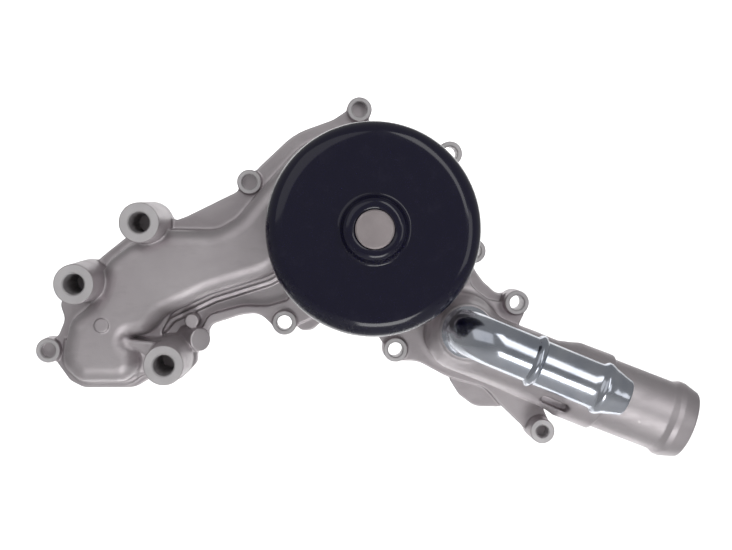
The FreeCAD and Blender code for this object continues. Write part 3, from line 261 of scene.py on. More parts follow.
def arc_points(corners, step=10.0):
    """A closed outline of (x, z, radius) corners as points, with an arc at each corner."""
    points = []
    count = len(corners)
    for k, (x, z, radius) in enumerate(corners):
        corner = np.array([x, z])
        before = np.array(corners[k - 1][:2]) - corner
        after = np.array(corners[(k + 1) % count][:2]) - corner
        before = before / np.linalg.norm(before)
        after = after / np.linalg.norm(after)
        half = math.acos(max(-1.0, min(1.0, float(before @ after)))) / 2
        if radius <= 0 or half > math.pi / 2 - 0.01:
            points.append(corner)
            continue
        back = radius / math.tan(half)
        centre = corner + (before + after) / np.linalg.norm(before + after) * radius / math.sin(half)
        start, end = corner + before * back - centre, corner + after * back - centre
        first = math.atan2(start[1], start[0])
        sweep = (math.atan2(end[1], end[0]) - first + math.pi) % (2 * math.pi) - math.pi
        steps = max(2, math.ceil(abs(math.degrees(sweep)) / step))
        for j in range(steps + 1):
            angle = first + sweep * j / steps
            points.append(centre + radius * np.array([math.cos(angle), math.sin(angle)]))
    return np.array(points)


def outline_distance(corners, x, z):
    """Signed distance from points to a closed outline, negative inside it."""
    points = arc_points(corners)
    best = np.full(np.broadcast(x, z).shape, 1e9, np.float32)
    sign = np.ones(best.shape, np.float32)
    for k in range(len(points)):
        ax, az = points[k - 1]
        bx, bz = points[k]
        ex, ez = bx - ax, bz - az
        wx, wz = x - ax, z - az
        along = np.clip((wx * ex + wz * ez) / max(ex * ex + ez * ez, 1e-9), 0, 1)
        best = np.minimum(best, (wx - ex * along) ** 2 + (wz - ez * along) ** 2)
        crosses = (az > z) != (bz > z)
        if abs(ez) > 1e-9:
            sign = np.where(crosses & (wx < ex * wz / ez), -sign, sign)
    return sign * np.sqrt(best)


def extruded(flat, height, low, high, edge=0.0):
    """A flat distance pulled up between two heights, with rounded edges."""
    side = flat + edge
    cap = np.abs(height - (low + high) / 2) - (high - low) / 2 + edge
    outside = np.hypot(np.maximum(side, 0), np.maximum(cap, 0))
    return np.minimum(np.maximum(side, cap), 0) + outside - edge


class Casting:
    """A block of distances to the surface of a solid."""

    def __init__(self, low, high):
        self.low = np.array(low, np.float32)
        self.size = np.ceil((np.array(high) - low) / VOXEL).astype(int) + 1
        self.values = np.full(self.size, FAR, np.float32)

    def part(self, low, high):
        """The block between two corners: its slices and the coordinates of its points."""
        first = np.clip(np.floor((np.array(low) - self.low) / VOXEL), 0, self.size - 1).astype(int)
        last = np.clip(np.ceil((np.array(high) - self.low) / VOXEL) + 1, 1, self.size).astype(int)
        cut = tuple(slice(a, b) for a, b in zip(first, last))
        x, height, z = (
            (self.low[k] + VOXEL * np.arange(first[k], last[k])).astype(np.float32)
            for k in range(3)
        )
        return cut, x[:, None, None], height[None, :, None], z[None, None, :]

    def change(self, low, high, distance, blend, add):
        """Adds a shape to the block, or takes it away."""
        margin = blend + 3 * VOXEL
        cut, x, height, z = self.part(np.array(low) - margin, np.array(high) + margin)
        shape = distance(x, height, z)
        old = self.values[cut]
        if add:
            self.values[cut] = smooth_min(old, shape, blend)
        else:
            self.values[cut] = -smooth_min(-old, shape, blend)

    def slab(self, corners, low, high, edge=0.8, blend=1.5, grow=0.0, add=True, within=None):
        """A cast outline between two heights, cut to another outline if one is given."""
        flat = np.array([corner[:2] for corner in corners])
        x0, z0 = flat.min(0) - grow
        x1, z1 = flat.max(0) + grow

        def distance(x, height, z):
            side = outline_distance(corners, x, z) - grow
            if within:
                side = np.maximum(side, outline_distance(within, x, z))
            return extruded(side, height, low, high, edge)

        self.change((x0, low, z0), (x1, high, z1), distance, blend, add)

    def column(self, place, radius, low, high, edge=0.5, blend=1.5, draft=0.0, add=True):
        """A round boss or hole. Its draft is how much its radius grows per millimetre down."""
        x0, z0 = place
        widest = radius + abs(draft) * (high - low)

        def distance(x, height, z):
            wide = radius + draft * (high - height)
            return extruded(np.hypot(x - x0, z - z0) - wide, height, low, high, edge)

        self.change(
            (x0 - widest, low, z0 - widest), (x0 + widest, high, z0 + widest), distance, blend, add
        )

    def wall(self, start, end, thick, low, high, edge=0.8, blend=2.5, add=True):
        """A straight rib or slot between two places."""
        a, b = np.array(start), np.array(end)
        way = b - a

        def distance(x, height, z):
            along = np.clip(((x - a[0]) * way[0] + (z - a[1]) * way[1]) / (way @ way), 0, 1)
            flat = np.hypot(x - a[0] - way[0] * along, z - a[1] - way[1] * along) - thick / 2
            return extruded(flat, height, low, high, edge)

        lowest, highest = np.minimum(a, b) - thick, np.maximum(a, b) + thick
        self.change(
            (lowest[0], low, lowest[1]), (highest[0], high, highest[1]), distance, blend, add
        )

    def leaning_boss(self, place, lean, radius, root, reach):
        """A short round boss whose axis leans to the right, from its root to its reach."""
        side, rise = math.sin(lean), math.cos(lean)

        def distance(x, height, z):
            dx, dh, dz = x - place[0], height - place[1], z - place[2]
            along = dx * side + dh * rise
            across = np.hypot(dx * rise - dh * side, dz)
            return extruded(across - radius, along, root, reach, edge=0.6)

        room = radius - root
        low = (place[0] - room, place[1] - room, place[2] - radius)
        high = (place[0] + room, place[1] + room, place[2] + radius)
        self.change(low, high, distance, blend=1.5, add=True)

    def inlet_part(self, profile, edge, blend, add=True):
        """A piece turned about the inlet's axis: profile is (distance along, radius) points."""
        along, radii = zip(*profile)
        reach = max(radii) + 1
        ends = [inlet_point(along[0]), inlet_point(along[-1])]
        low = np.minimum(*ends) - reach
        high = np.maximum(*ends) + reach

        def distance(x, height, z):
            place, side, up = inlet_frame(x, height, z)
            wide = np.interp(place, along, radii)
            return extruded(np.hypot(side, up) - wide, place, along[0], along[-1], edge)

        self.change(low, high, distance, blend, add)


def inlet_point(along):
    """The place at this distance along the inlet's axis."""
    way = np.array([math.cos(INLET_ANGLE), 0.0, -math.sin(INLET_ANGLE)])
    return np.array(INLET_START) + along * way


def inlet_frame(x, height, z):
    """Distances along the inlet's axis, to its upper side and forward."""
    cosine, sine = math.cos(INLET_ANGLE), math.sin(INLET_ANGLE)
    dx, dz = x - INLET_START[0], z - INLET_START[2]
    return dx * cosine - dz * sine, dx * sine + dz * cosine, height - INLET_START[1]


def mesh_of(casting):
    """Vertices and quads of the zero surface, in metres in the row frame."""
    limit = 4 * VOXEL
    grid = openvdb.FloatGrid(limit)
    grid.copyFromArray(np.clip(casting.values, -limit, limit).astype(np.float32))
    points, quads = grid.convertToQuads(0.0)
    points = points.astype(np.float64)
    for _ in range(2):
        points = pull_to_surface(casting.values, points)
    normals = slope_at(casting.values, points)[1] * (1, -1, 1)
    place = casting.low + points * VOXEL
    place = np.stack([place[:, 0], -place[:, 1], place[:, 2]], axis=1) * MM
    a, b, c = (place[quads[:, k]] for k in (0, 1, 2))
    volume = np.einsum("ij,ij->i", a, np.cross(b, c)).sum()
    return place, quads if volume > 0 else quads[:, ::-1], normals


def slope_at(values, points):
    """A block's value and gradient at points given in voxels."""
    last = np.array(values.shape) - 2
    cell = np.clip(np.floor(points).astype(int), 0, last)
    part = points - cell
    total = np.zeros(len(points))
    slope = np.zeros_like(points)
    for i, j, k in np.ndindex(2, 2, 2):
        value = values[cell[:, 0] + i, cell[:, 1] + j, cell[:, 2] + k]
        wx = part[:, 0] if i else 1 - part[:, 0]
        wy = part[:, 1] if j else 1 - part[:, 1]
        wz = part[:, 2] if k else 1 - part[:, 2]
        total += value * wx * wy * wz
        slope[:, 0] += value * (1 if i else -1) * wy * wz
        slope[:, 1] += value * (1 if j else -1) * wx * wz
        slope[:, 2] += value * (1 if k else -1) * wx * wy
    return total, slope


def pull_to_surface(values, points):
    """Moves points along the gradient onto the zero surface of a block of distances."""
    total, slope = slope_at(values, points)
    steep = np.maximum((slope**2).sum(1), 1e-3)
    return points - np.clip(total / steep, -0.5, 0.5)[:, None] * slope


def smooth_piece(name, place, faces, normals, material):
    """An object from arrays of vertices, quads and directions to shade by."""
    mesh = bpy.data.meshes.new(name)
    mesh.vertices.add(len(place))
    mesh.vertices.foreach_set("co", place.astype(np.float32).ravel())
    mesh.loops.add(faces.size)
    mesh.loops.foreach_set("vertex_index", faces.astype(np.int32).ravel())
    mesh.polygons.add(len(faces))
    mesh.polygons.foreach_set("loop_start", np.arange(0, faces.size, 4, dtype=np.int32))
    mesh.update(calc_edges=True)
    mesh.validate()
    mesh.shade_smooth()
    length = np.maximum(np.linalg.norm(normals, axis=1), 1e-9)[:, None]
    mesh.normals_split_custom_set_from_vertices((normals / length).tolist())
    piece = bpy.data.objects.new(name, mesh)
    bpy.context.scene.collection.objects.link(piece)
    mesh.materials.append(material)
    return piece


# ---------------------------------------------------------------------------------------------
# The casting


def cast_body():
    """The whole die casting as a distance field."""
    body = Casting((-163, -1.5, -117), (166, 67.5, 66))
    add_flange(body)
    add_channel(body)
    add_bosses(body)
    add_inlet(body)
    cut_passages(body)
    cut_holes(body)
    return body


def add_flange(body):
    """The flange with its pocket and lobes."""
    body.column((0, 0), DISC_RADIUS, REAR, RAIL_TOP, edge=RAIL_EDGE)
    body.slab(ARM_FLANGE, REAR, RAIL_TOP, edge=RAIL_EDGE, blend=1.0)
    body.slab(INLET_FLANGE, REAR, RAIL_TOP, edge=RAIL_EDGE, blend=1.0)
    body.slab(WEB_POCKET, POCKET_FLOOR, POCKET_CUT_TOP, edge=RAIL_EDGE, blend=1.0, add=False)
    body.slab(CORNER_LOBE, REAR, LOBE_TOP, edge=0.6, blend=0.8)
    body.slab(SIDE_LOBE, REAR, LOBE_TOP, edge=0.6, blend=0.8)
    body.slab(LOW_LEDGE, LOW_LEDGE_FLOOR, POCKET_CUT_TOP, edge=0.4, blend=0.8, add=False)


def add_channel(body):
    """The water channel with low ledges round its foot, the dome and the bearing's snout."""
    for top, reach, edge in ARM_LEDGES:
        body.slab(CHANNEL, REAR, top, edge, LEDGE_FILLET, grow=reach, within=LEDGE_ZONE)
    body.slab(
        CHANNEL, REAR, CHAMBER_FOOT_TOP, edge=1.0, grow=CHAMBER_FOOT_REACH, within=CHAMBER_ZONE
    )
    body.slab(CHANNEL, REAR, CHANNEL_TOP, edge=CHANNEL_ROUND, blend=2.0)
    body.column((0, 0), DOME_RADIUS, REAR, DOME_TOP, edge=DOME_ROUND, blend=4.0)
    body.column(
        (0, 0), SNOUT_RADIUS, SNOUT_FOOT, SNOUT_FRONT, edge=0.8, blend=5.0, draft=SNOUT_DRAFT
    )


def add_bosses(body):
    """Bolt bosses, tall bosses, the pad, the peg, the leaning boss and the web beside it."""
    small = [(place, BOSS_TOP, 1.2) for place in OPEN_BOSSES + CLOSED_BOSSES]
    small += [(LOW_BOSS, LOW_BOSS_TOP, 1.2), (CORNER_BOSS, CORNER_BOSS_TOP, 1.0)]
    for place, top, fillet in small:
        body.column(place, BOSS_RADIUS, REAR, top, edge=0.6, blend=fillet, draft=BOSS_DRAFT)
    for place in TALL_BOSSES:
        body.column(place, TALL_RADIUS, REAR, TALL_TOP, blend=2.0, draft=TALL_DRAFT)
    body.column(CHAMBER_PAD, PAD_RADIUS, PAD_FOOT, PAD_TOP, edge=0.3, blend=0.4)
    body.column(PEG, PEG_RADIUS, REAR, BOSS_TOP, edge=0.6, blend=1.2)
    body.leaning_boss(LEANING_BOSS, LEAN_ANGLE, LEAN_RADIUS, LEAN_ROOT, LEAN_REACH)
    body.slab(NOTCH_WEB, REAR, WEB_TOP, edge=1.6, blend=2.5)
    body.slab(BOSS_ROOT, REAR, BOSS_ROOT_TOP, edge=2.0, blend=2.5)


def add_inlet(body):
    """The hose inlet with its collar, nipple and slot, and the socket of the return tube."""
    body.slab(INLET_ROOT, REAR, INLET_ROOT_TOP, edge=2.0, blend=1.2)
    body.inlet_part(INLET_BODY, edge=3.0, blend=2.0)
    body.column(
        TUBE_SOCKET, SOCKET_RADIUS, RAIL_TOP, SOCKET_TOP, edge=1.2, blend=6.0, draft=SOCKET_DRAFT
    )
    body.inlet_part(INLET_COLLAR, edge=0.8, blend=2.0)
    body.inlet_part(NIPPLE, edge=0.6, blend=0.8)
    body.wall(*SLOT, SLOT_WIDTH, SLOT_FLOOR, SLOT_CUT_TOP, edge=0.8, blend=1.6, add=False)


def cut_passages(body):
    """The impeller's cavity, the channel, the bearing's bore and the way in for the water."""
    body.column((0, 0), CAVITY_RADIUS, -PAST, CAVITY_ROOF, edge=0.6, blend=0.6, add=False)
    body.slab(CHANNEL_HOLLOW, -PAST, CHANNEL_ROOF, CHANNEL_ROOF_ROUND, blend=0.6, add=False)
    body.column(
        (0, 0), BEARING_BORE, BEARING_SHOULDER, SNOUT_FRONT + PAST, edge=0, blend=0.3, add=False
    )
    body.column(
        (0, 0), SEAL_BORE, SEAL_FLOOR, BEARING_SHOULDER + 0.9, edge=0, blend=0.3, add=False
    )
    body.inlet_part(INLET_BORE, edge=0, blend=0.5, add=False)
    body.column(PORT, PORT_RADIUS, -PAST, PORT_ROOF, edge=0, blend=0.6, add=False)
    body.column(
        TUBE_SOCKET, TUBE_RADIUS + 0.3, SOCKET_FLOOR, SOCKET_TOP + PAST, edge=0, blend=0.4, add=False
    )


def cut_holes(body):
    """The holes of the bosses: place, radius of the lining, and where each starts and ends."""
    holes = [(place, BOLT_HOLE, -PAST, LOW_BOSS_TOP) for place in OPEN_BOSSES + [LOW_BOSS]]
    holes += [(place, BOLT_HOLE, BOSS_TOP - CLOSED_DEPTH, BOSS_TOP) for place in CLOSED_BOSSES]
    holes += [(CORNER_BOSS, CORNER_HOLE, BOSS_TOP, CORNER_BOSS_TOP)]
    for place in TALL_BOSSES:
        holes.append((place, TALL_MOUTH, TALL_TOP - TALL_MOUTH_DEPTH, TALL_TOP))
        holes.append((place, TALL_HOLE, TALL_HOLE_FLOOR, TALL_TOP))
    for place, radius, floor, top in holes:
        body.column(place, radius + HOLE_PLAY, floor, top + PAST, edge=0, blend=0, add=False)


# ---------------------------------------------------------------------------------------------
# Turned pieces


def lathe(name, profile, material, place=(0.0, 0.0), segments=128, sharp=35.0):
    """A closed piece turned about a line along Y, from (radius, height) corners in order.

    Edges that turn by more than sharp degrees stay sharp.
    """
    count = len(profile)
    vertices, faces = [], []
    for k in range(segments):
        angle = 2 * math.pi * k / segments
        for radius, height in profile:
            vertices.append(
                (
                    (place[0] + radius * math.cos(angle)) * MM,
                    -height * MM,
                    (place[1] + radius * math.sin(angle)) * MM,
                )
            )
    for k in range(segments):
        here, there = k * count, (k + 1) % segments * count
        for j in range(count):
            after = (j + 1) % count
            faces.append((here + j, here + after, there + after, there + j))
    mesh = bpy.data.meshes.new(name)
    mesh.from_pydata(vertices, [], faces)
    return finished(name, mesh, material, sharp)


def finished(name, mesh, material, sharp):
    """Cleans a mesh, turns its faces outward and makes it an object."""
    work = bmesh.new()
    work.from_mesh(mesh)
    bmesh.ops.remove_doubles(work, verts=work.verts, dist=1e-7)
    bmesh.ops.recalc_face_normals(work, faces=work.faces)
    work.to_mesh(mesh)
    work.free()
    mesh.shade_smooth()
    mesh.set_sharp_from_angle(angle=math.radians(sharp))
    mesh.materials.append(material)
    piece = bpy.data.objects.new(name, mesh)
    bpy.context.scene.collection.objects.link(piece)
    return piece


def machined_ring(name, place, top, outer, hole, depth, chamfer, taper, material):
    """The machined face of a boss with its chamfered hole, which may be wider at its mouth.

    It stands a hair's breadth, the skin, in front of the casting that it sits in.
    """
    skin, rim, wall = 0.05, 0.4, 0.6
    mouth_depth = 14 * taper
    root = 3 * rim
    profile = [
        (outer, top + skin),
        (hole + taper + chamfer, top + skin),
        (hole + taper, top + skin - chamfer),
        (hole, top - mouth_depth - chamfer),
        (hole, top - depth),
        (hole + wall, top - depth),
        (hole + 1.5 * wall, top - root - chamfer),
        (outer, top - rim),
    ]
    return lathe(name, profile, material, place, segments=96, sharp=25)


def swept(name, path, section, material, frames, segments=64):
    """A tube along a path of places. The section gives outer and inner radius at each place."""
    vertices, faces = [], []
    rows = len(path)
    for inner in (False, True):
        for k, (place, (side, up)) in enumerate(zip(path, frames)):
            radius = section[k][1 if inner else 0]
            for j in range(segments):
                angle = 2 * math.pi * j / segments
                spot = place + side * (radius * math.cos(angle)) + up * (radius * math.sin(angle))
                vertices.append((spot[0] * MM, -spot[1] * MM, spot[2] * MM))
    inside = rows * segments
    for k in range(rows - 1):
        for j in range(segments):
            here, there = k * segments + j, k * segments + (j + 1) % segments
            faces.append((here, there, there + segments, here + segments))
            here, there = here + inside, there + inside
            faces.append((here, here + segments, there + segments, there))
    for row in (0, rows - 1):
        for j in range(segments):
            here, there = row * segments + j, row * segments + (j + 1) % segments
            faces.append((here, here + inside, there + inside, there))
    mesh = bpy.data.meshes.new(name)
    mesh.from_pydata(vertices, [], faces)
    return finished(name, mesh, material, sharp=35.0)


def return_tube(material):
    """The bent steel tube with two hose beads and a tapered tip."""
    cosine, sine = math.cos(TUBE_ANGLE), math.sin(TUBE_ANGLE)
    out = np.array([cosine, 0.0, -sine])
    across = np.array([sine, 0.0, cosine])
    front = np.array([0.0, 1.0, 0.0])
    foot = np.array([TUBE_SOCKET[0], 0.0, TUBE_SOCKET[1]])
    path, frames, section = [], [], []

    def add(place, way, outer, wall=TUBE_WALL):
        path.append(place)
        frames.append((across, np.cross(way, across)))
        section.append((outer, outer - wall))

    bend_start = TUBE_HEIGHT - TUBE_BEND
    for height, more in TUBE_FLARE:
        if height <= bend_start:
            add(foot + front * height, front, TUBE_RADIUS + more)

    centre = foot + front * bend_start + out * TUBE_BEND
    heights, flares = zip(*TUBE_FLARE)
    steps = 28
    for k in range(steps + 1):
        angle = math.pi / 2 * k / steps
        place = centre + TUBE_BEND * (front * math.sin(angle) - out * math.cos(angle))
        way = front * math.cos(angle) + out * math.sin(angle)
        more = np.interp(place[1], heights, flares) if k < steps / 2 else 0
        add(place, way, TUBE_RADIUS + more)

    before_bead = [(TUBE_BEND + 0.5, 0), (TUBE_BEAD - 3.5, 0)]
    for along, more in before_bead + bead(TUBE_BEAD, 2.4, 1.7) + TUBE_END:
        wall = TUBE_LIP_WALL if along >= TUBE_TIP else TUBE_WALL
        add(foot + front * TUBE_HEIGHT + out * along, out, TUBE_RADIUS + more, wall)
    return swept("return_tube", path, section, material, frames)


def bead(centre, half_width, rise):
    """The rolled bead of a hose end: places along the tube and how far it stands out."""
    steps, fullness = 9, 1.3
    shape = []
    for k in range(steps):
        across = 2 * k / (steps - 1) - 1
        shape.append((centre + half_width * across, rise * (1 - across * across) ** fullness))
    return shape


def belt_pulley(material):
    """The drawn steel pulley: a flat belt rim, a rounded shoulder and a raised centre."""
    rim, front, back, wall, turn, lip = 47.9, 70.0, 47.0, 3.0, 8.0, 0.4
    groove, groove_turn = 16.6, 2.0
    collar, collar_turn, collar_rise, mouth = 10.9, 3.5, 1.5, 8.72
    boss, web = 11.3, 30.0
    profile = [(rim - lip / 2, back), (rim, back + lip)]
    profile += arc(rim - turn, front - turn, turn, 0, 90, 14)
    profile += [(34.0, front), (25.0, front - 0.05), (groove + groove_turn, front)]
    profile += arc(groove, front + groove_turn, groove_turn, 270, 195, 8)
    profile += arc(collar, front + collar_rise, collar_turn, 8, 90, 12)
    profile += [(9.6, 74.95), (8.95, 74.6), (mouth, 74.0), (mouth, 72.0)]
    profile += [(boss, 72.0), (boss, front - wall), (web, front - wall)]
    profile += arc(rim - turn, front - turn, turn - wall, 90, 0, 10)
    profile += [(rim - wall, back + lip), (rim - wall + 0.3, back)]
    return lathe("belt_pulley_look", profile, material, segments=192, sharp=30)


def arc(radius, height, size, first, last, steps):
    """Points of an arc in the section of a turned piece, by its angles in degrees."""
    angles = (math.radians(first + (last - first) * k / steps) for k in range(steps + 1))
    return [(radius + size * math.cos(a), height + size * math.sin(a)) for a in angles]


def shaft(material):
    """The bearing's own shaft: thinner at the impeller, necked, with a chamfered front end."""
    rear, front = -5.0, 76.0
    thin, full, neck = 7.95, 8.7, 8.47
    profile = [(0.0, rear + 1.0), (1.6, rear), (7.2, rear), (thin, rear + 0.8), (thin, 31.0)]
    profile += [(full, 31.6), (full, 51.4), (neck, 52.4), (neck, 57.6), (full, 58.6)]
    profile += [(full, front - 0.9), (full - 0.15, front - 0.5), (7.9, front), (0.0, front)]
    return lathe("shaft_look", profile, material, segments=128, sharp=28)


# ---------------------------------------------------------------------------------------------
# Materials


class Finish:
    """A material made of procedural nodes. Noise scales are in waves per metre or so."""

    def __init__(self, name, metallic, coat=0.0):
        self.material = bpy.data.materials.new(name)
        self.material.use_nodes = True
        self.tree = self.material.node_tree
        self.shader = self.tree.nodes["Principled BSDF"]
        self.shader.inputs["Metallic"].default_value = metallic
        self.shader.inputs["Coat Weight"].default_value = coat
        self.shader.inputs["Coat Roughness"].default_value = 0.1

    def add(self, kind, **settings):
        """A new node with these settings."""
        node = self.tree.nodes.new(kind)
        for key, value in settings.items():
            setattr(node, key, value)
        return node

    def link(self, source, target):
        """Joins two sockets."""
        self.tree.links.new(source, target)

    def place(self, stretch=(1, 1, 1)):
        """Coordinates of the piece, stretched if wanted."""
        where = self.add("ShaderNodeTexCoord")
        mapping = self.add("ShaderNodeMapping")
        mapping.inputs["Scale"].default_value = stretch
        self.link(where.outputs["Object"], mapping.inputs["Vector"])
        return mapping.outputs["Vector"]

    def noise(self, scale, detail=4.0, rough=0.5, where=None):
        """A cloudy pattern between 0 and 1."""
        node = self.add("ShaderNodeTexNoise")
        node.inputs["Scale"].default_value = scale
        node.inputs["Detail"].default_value = detail
        node.inputs["Roughness"].default_value = rough
        self.link(where or self.place(), node.inputs["Vector"])
        return node.outputs["Fac"]

    def spread(self, source, low, high, out_low=0.0, out_high=1.0):
        """The source's values from low to high, stretched to the out values."""
        node = self.add("ShaderNodeMapRange")
        node.inputs["From Min"].default_value = low
        node.inputs["From Max"].default_value = high
        node.inputs["To Min"].default_value = out_low
        node.inputs["To Max"].default_value = out_high
        self.link(source, node.inputs["Value"])
        return node.outputs["Result"]

    def mix(self, factor, a, b):
        """A colour between a and b, each a colour or a socket."""
        node = self.add("ShaderNodeMix", data_type="RGBA")
        self.link(factor, node.inputs[0])
        for socket, value in ((node.inputs[6], a), (node.inputs[7], b)):
            if isinstance(value, tuple):
                socket.default_value = (*value, 1)
            else:
                self.link(value, socket)
        return node.outputs[2]

    def colour(self, socket):
        """Sets what gives the base colour."""
        self.link(socket, self.shader.inputs["Base Color"])

    def rough(self, socket):
        """Sets what gives the roughness."""
        self.link(socket, self.shader.inputs["Roughness"])

    def bump(self, *layers):
        """Bumps one on another: (height socket, strength, distance in metres)."""
        last = None
        for height, strength, distance in layers:
            node = self.add("ShaderNodeBump")
            node.inputs["Strength"].default_value = strength
            node.inputs["Distance"].default_value = distance
            self.link(height, node.inputs["Height"])
            if last:
                self.link(last, node.inputs["Normal"])
            last = node.outputs["Normal"]
        self.link(last, self.shader.inputs["Normal"])


def die_cast():
    """Bare die-cast aluminium: satin, slightly warm, with a fine grain and faint flow marks, a painted
    highlight on its sharp edges and painted shade in its creases.
    """
    f = Finish("cast_aluminium_look", 1.0)
    broad = f.noise(22, 5, 0.55)
    flow = f.noise(60, 6, 0.6, f.place(stretch=(1.0, 1.0, 2.6)))
    grain = f.noise(1500, 3, 0.6)
    mottled = f.mix(f.spread(broad, 0.35, 0.68), (0.53, 0.49, 0.51), (0.61, 0.575, 0.59))
    marked = f.mix(f.spread(flow, 0.52, 0.74, 0.0, 0.45), mottled, (0.45, 0.42, 0.435))
    shape = f.add("ShaderNodeNewGeometry")
    # painted highlight: sharp convex edges are painted lighter, as if light caught them
    edge_highlight_mask = f.spread(shape.outputs["Pointiness"], 0.53, 0.60, 0.0, 0.7)
    edge_highlit = f.mix(edge_highlight_mask, marked, (0.76, 0.73, 0.735))
    # painted shade: creases and concave corners are painted darker, standing in for the shade that
    # falls there
    crease_shade_mask = f.spread(shape.outputs["Pointiness"], 0.47, 0.40, 0.0, 0.2)
    f.colour(f.mix(crease_shade_mask, edge_highlit, (0.28, 0.26, 0.27)))
    f.rough(f.spread(flow, 0.3, 0.75, 0.44, 0.58))
    f.bump((grain, 0.22, 0.0002), (f.noise(260, 4, 0.6), 0.12, 0.0006))
    return f.material


def turned_metal(name, colour, dark, low, high, marks, metallic=1.0):
    """Metal with fine tool marks round the piece's axis, and roughness from low to high."""
    f = Finish(name, metallic)
    where = f.add("ShaderNodeTexCoord")
    shift = f.add("ShaderNodeVectorMath", operation="ADD")
    shift.inputs[1].default_value = (-0.5, -0.5, -0.5)
    f.link(where.outputs["Generated"], shift.inputs[0])
    rings = f.add("ShaderNodeTexWave", wave_type="RINGS", rings_direction="Y")
    rings.inputs["Scale"].default_value = marks
    rings.inputs["Distortion"].default_value = 1.2
    rings.inputs["Detail"].default_value = 3
    f.link(shift.outputs["Vector"], rings.inputs["Vector"])
    cloud = f.noise(90, 4)
    f.colour(f.mix(f.spread(cloud, 0.35, 0.7), colour, dark))
    f.rough(f.spread(rings.outputs["Fac"], 0, 1, low, high))
    f.bump((rings.outputs["Fac"], 0.12, 0.0001), (f.noise(700, 3), 0.1, 0.0001))
    return f.material


def black_enamel():
    """Gloss black paint with a faint orange peel and a little dust."""
    f = Finish("pulley_black_look", 0.0, coat=0.8)
    f.shader.inputs["Specular IOR Level"].default_value = 0.12
    dust = f.noise(140, 7, 0.7)
    f.colour(f.mix(f.spread(dust, 0.56, 0.8, 0, 0.35), (0.003, 0.002, 0.018), (0.022, 0.019, 0.042)))
    f.rough(f.spread(dust, 0.3, 0.75, 0.2, 0.34))
    f.bump((f.noise(420, 2), 0.04, 0.0002))
    return f.material


def bright_plate():
    """Bright plated steel with faint drawing lines."""
    f = Finish("bright_tube_look", 1.0)
    cloud = f.noise(55, 5)
    lines = f.noise(900, 3, 0.6, f.place(stretch=(0.06, 0.06, 1.0)))
    f.colour(f.mix(f.spread(cloud, 0.35, 0.7), (0.58, 0.60, 0.65), (0.42, 0.45, 0.52)))
    f.rough(f.spread(lines, 0.3, 0.8, 0.12, 0.24))
    f.bump((lines, 0.04, 0.0001))
    return f.material


def plain_finish(name, colour, other, metallic, low, high, grain, depth):
    """A finish with two close tints, roughness from low to high and a fine grain."""
    f = Finish(name, metallic)
    cloud = f.noise(80, 5, 0.6)
    fine = f.noise(grain, 4, 0.6)
    f.colour(f.mix(f.spread(cloud, 0.35, 0.68), colour, other))
    f.rough(f.spread(fine, 0.3, 0.75, low, high))
    f.bump((fine, depth, 0.0002))
    return f.material


# Finish of each slot in the nodes that keep their CAD shape: its name, two tints, metallic,
# roughness from and to, scale of the grain and depth of the grain.
NODE_FINISHES = {
    "gasket_steel": (
        "gasket_steel_look", (0.46, 0.46, 0.48), (0.36, 0.36, 0.38), 1.0, 0.3, 0.5, 500, 0.15
    ),
    "seal_rubber": (
        "seal_rubber_look", (0.018, 0.018, 0.019), (0.03, 0.03, 0.031), 0.0, 0.55, 0.8, 900, 0.3
    ),
    "ground_steel": (
        "hub_steel_look", (0.55, 0.54, 0.54), (0.45, 0.44, 0.45), 1.0, 0.22, 0.4, 600, 0.15
    ),
    "bearing_steel": (
        "bearing_steel_look", (0.62, 0.62, 0.63), (0.5, 0.5, 0.52), 1.0, 0.08, 0.2, 400, 0.05
    ),
    "impeller_plastic": (
        "impeller_plastic_look", (0.022, 0.024, 0.026), (0.04, 0.042, 0.045), 0.0, 0.4, 0.6, 400, 0.15
    ),
    "cage_plastic": (
        "cage_plastic_look", (0.50, 0.40, 0.22), (0.42, 0.33, 0.17), 0.0, 0.4, 0.55, 400, 0.15
    ),
    "seal_metal": (
        "seal_metal_look", (0.62, 0.55, 0.38), (0.52, 0.46, 0.33), 1.0, 0.2, 0.4, 400, 0.15
    ),
    "carbon": (
        "carbon_look", (0.02, 0.02, 0.021), (0.045, 0.045, 0.048), 0.2, 0.3, 0.5, 700, 0.15
    ),
    "ceramic": (
        "ceramic_look", (0.66, 0.64, 0.6), (0.6, 0.58, 0.53), 0.0, 0.25, 0.4, 500, 0.06
    ),
    "spring_steel": (
        "spring_steel_look", (0.5, 0.51, 0.53), (0.4, 0.41, 0.44), 1.0, 0.18, 0.32, 500, 0.06
    ),
}


# ---------------------------------------------------------------------------------------------
# The pump


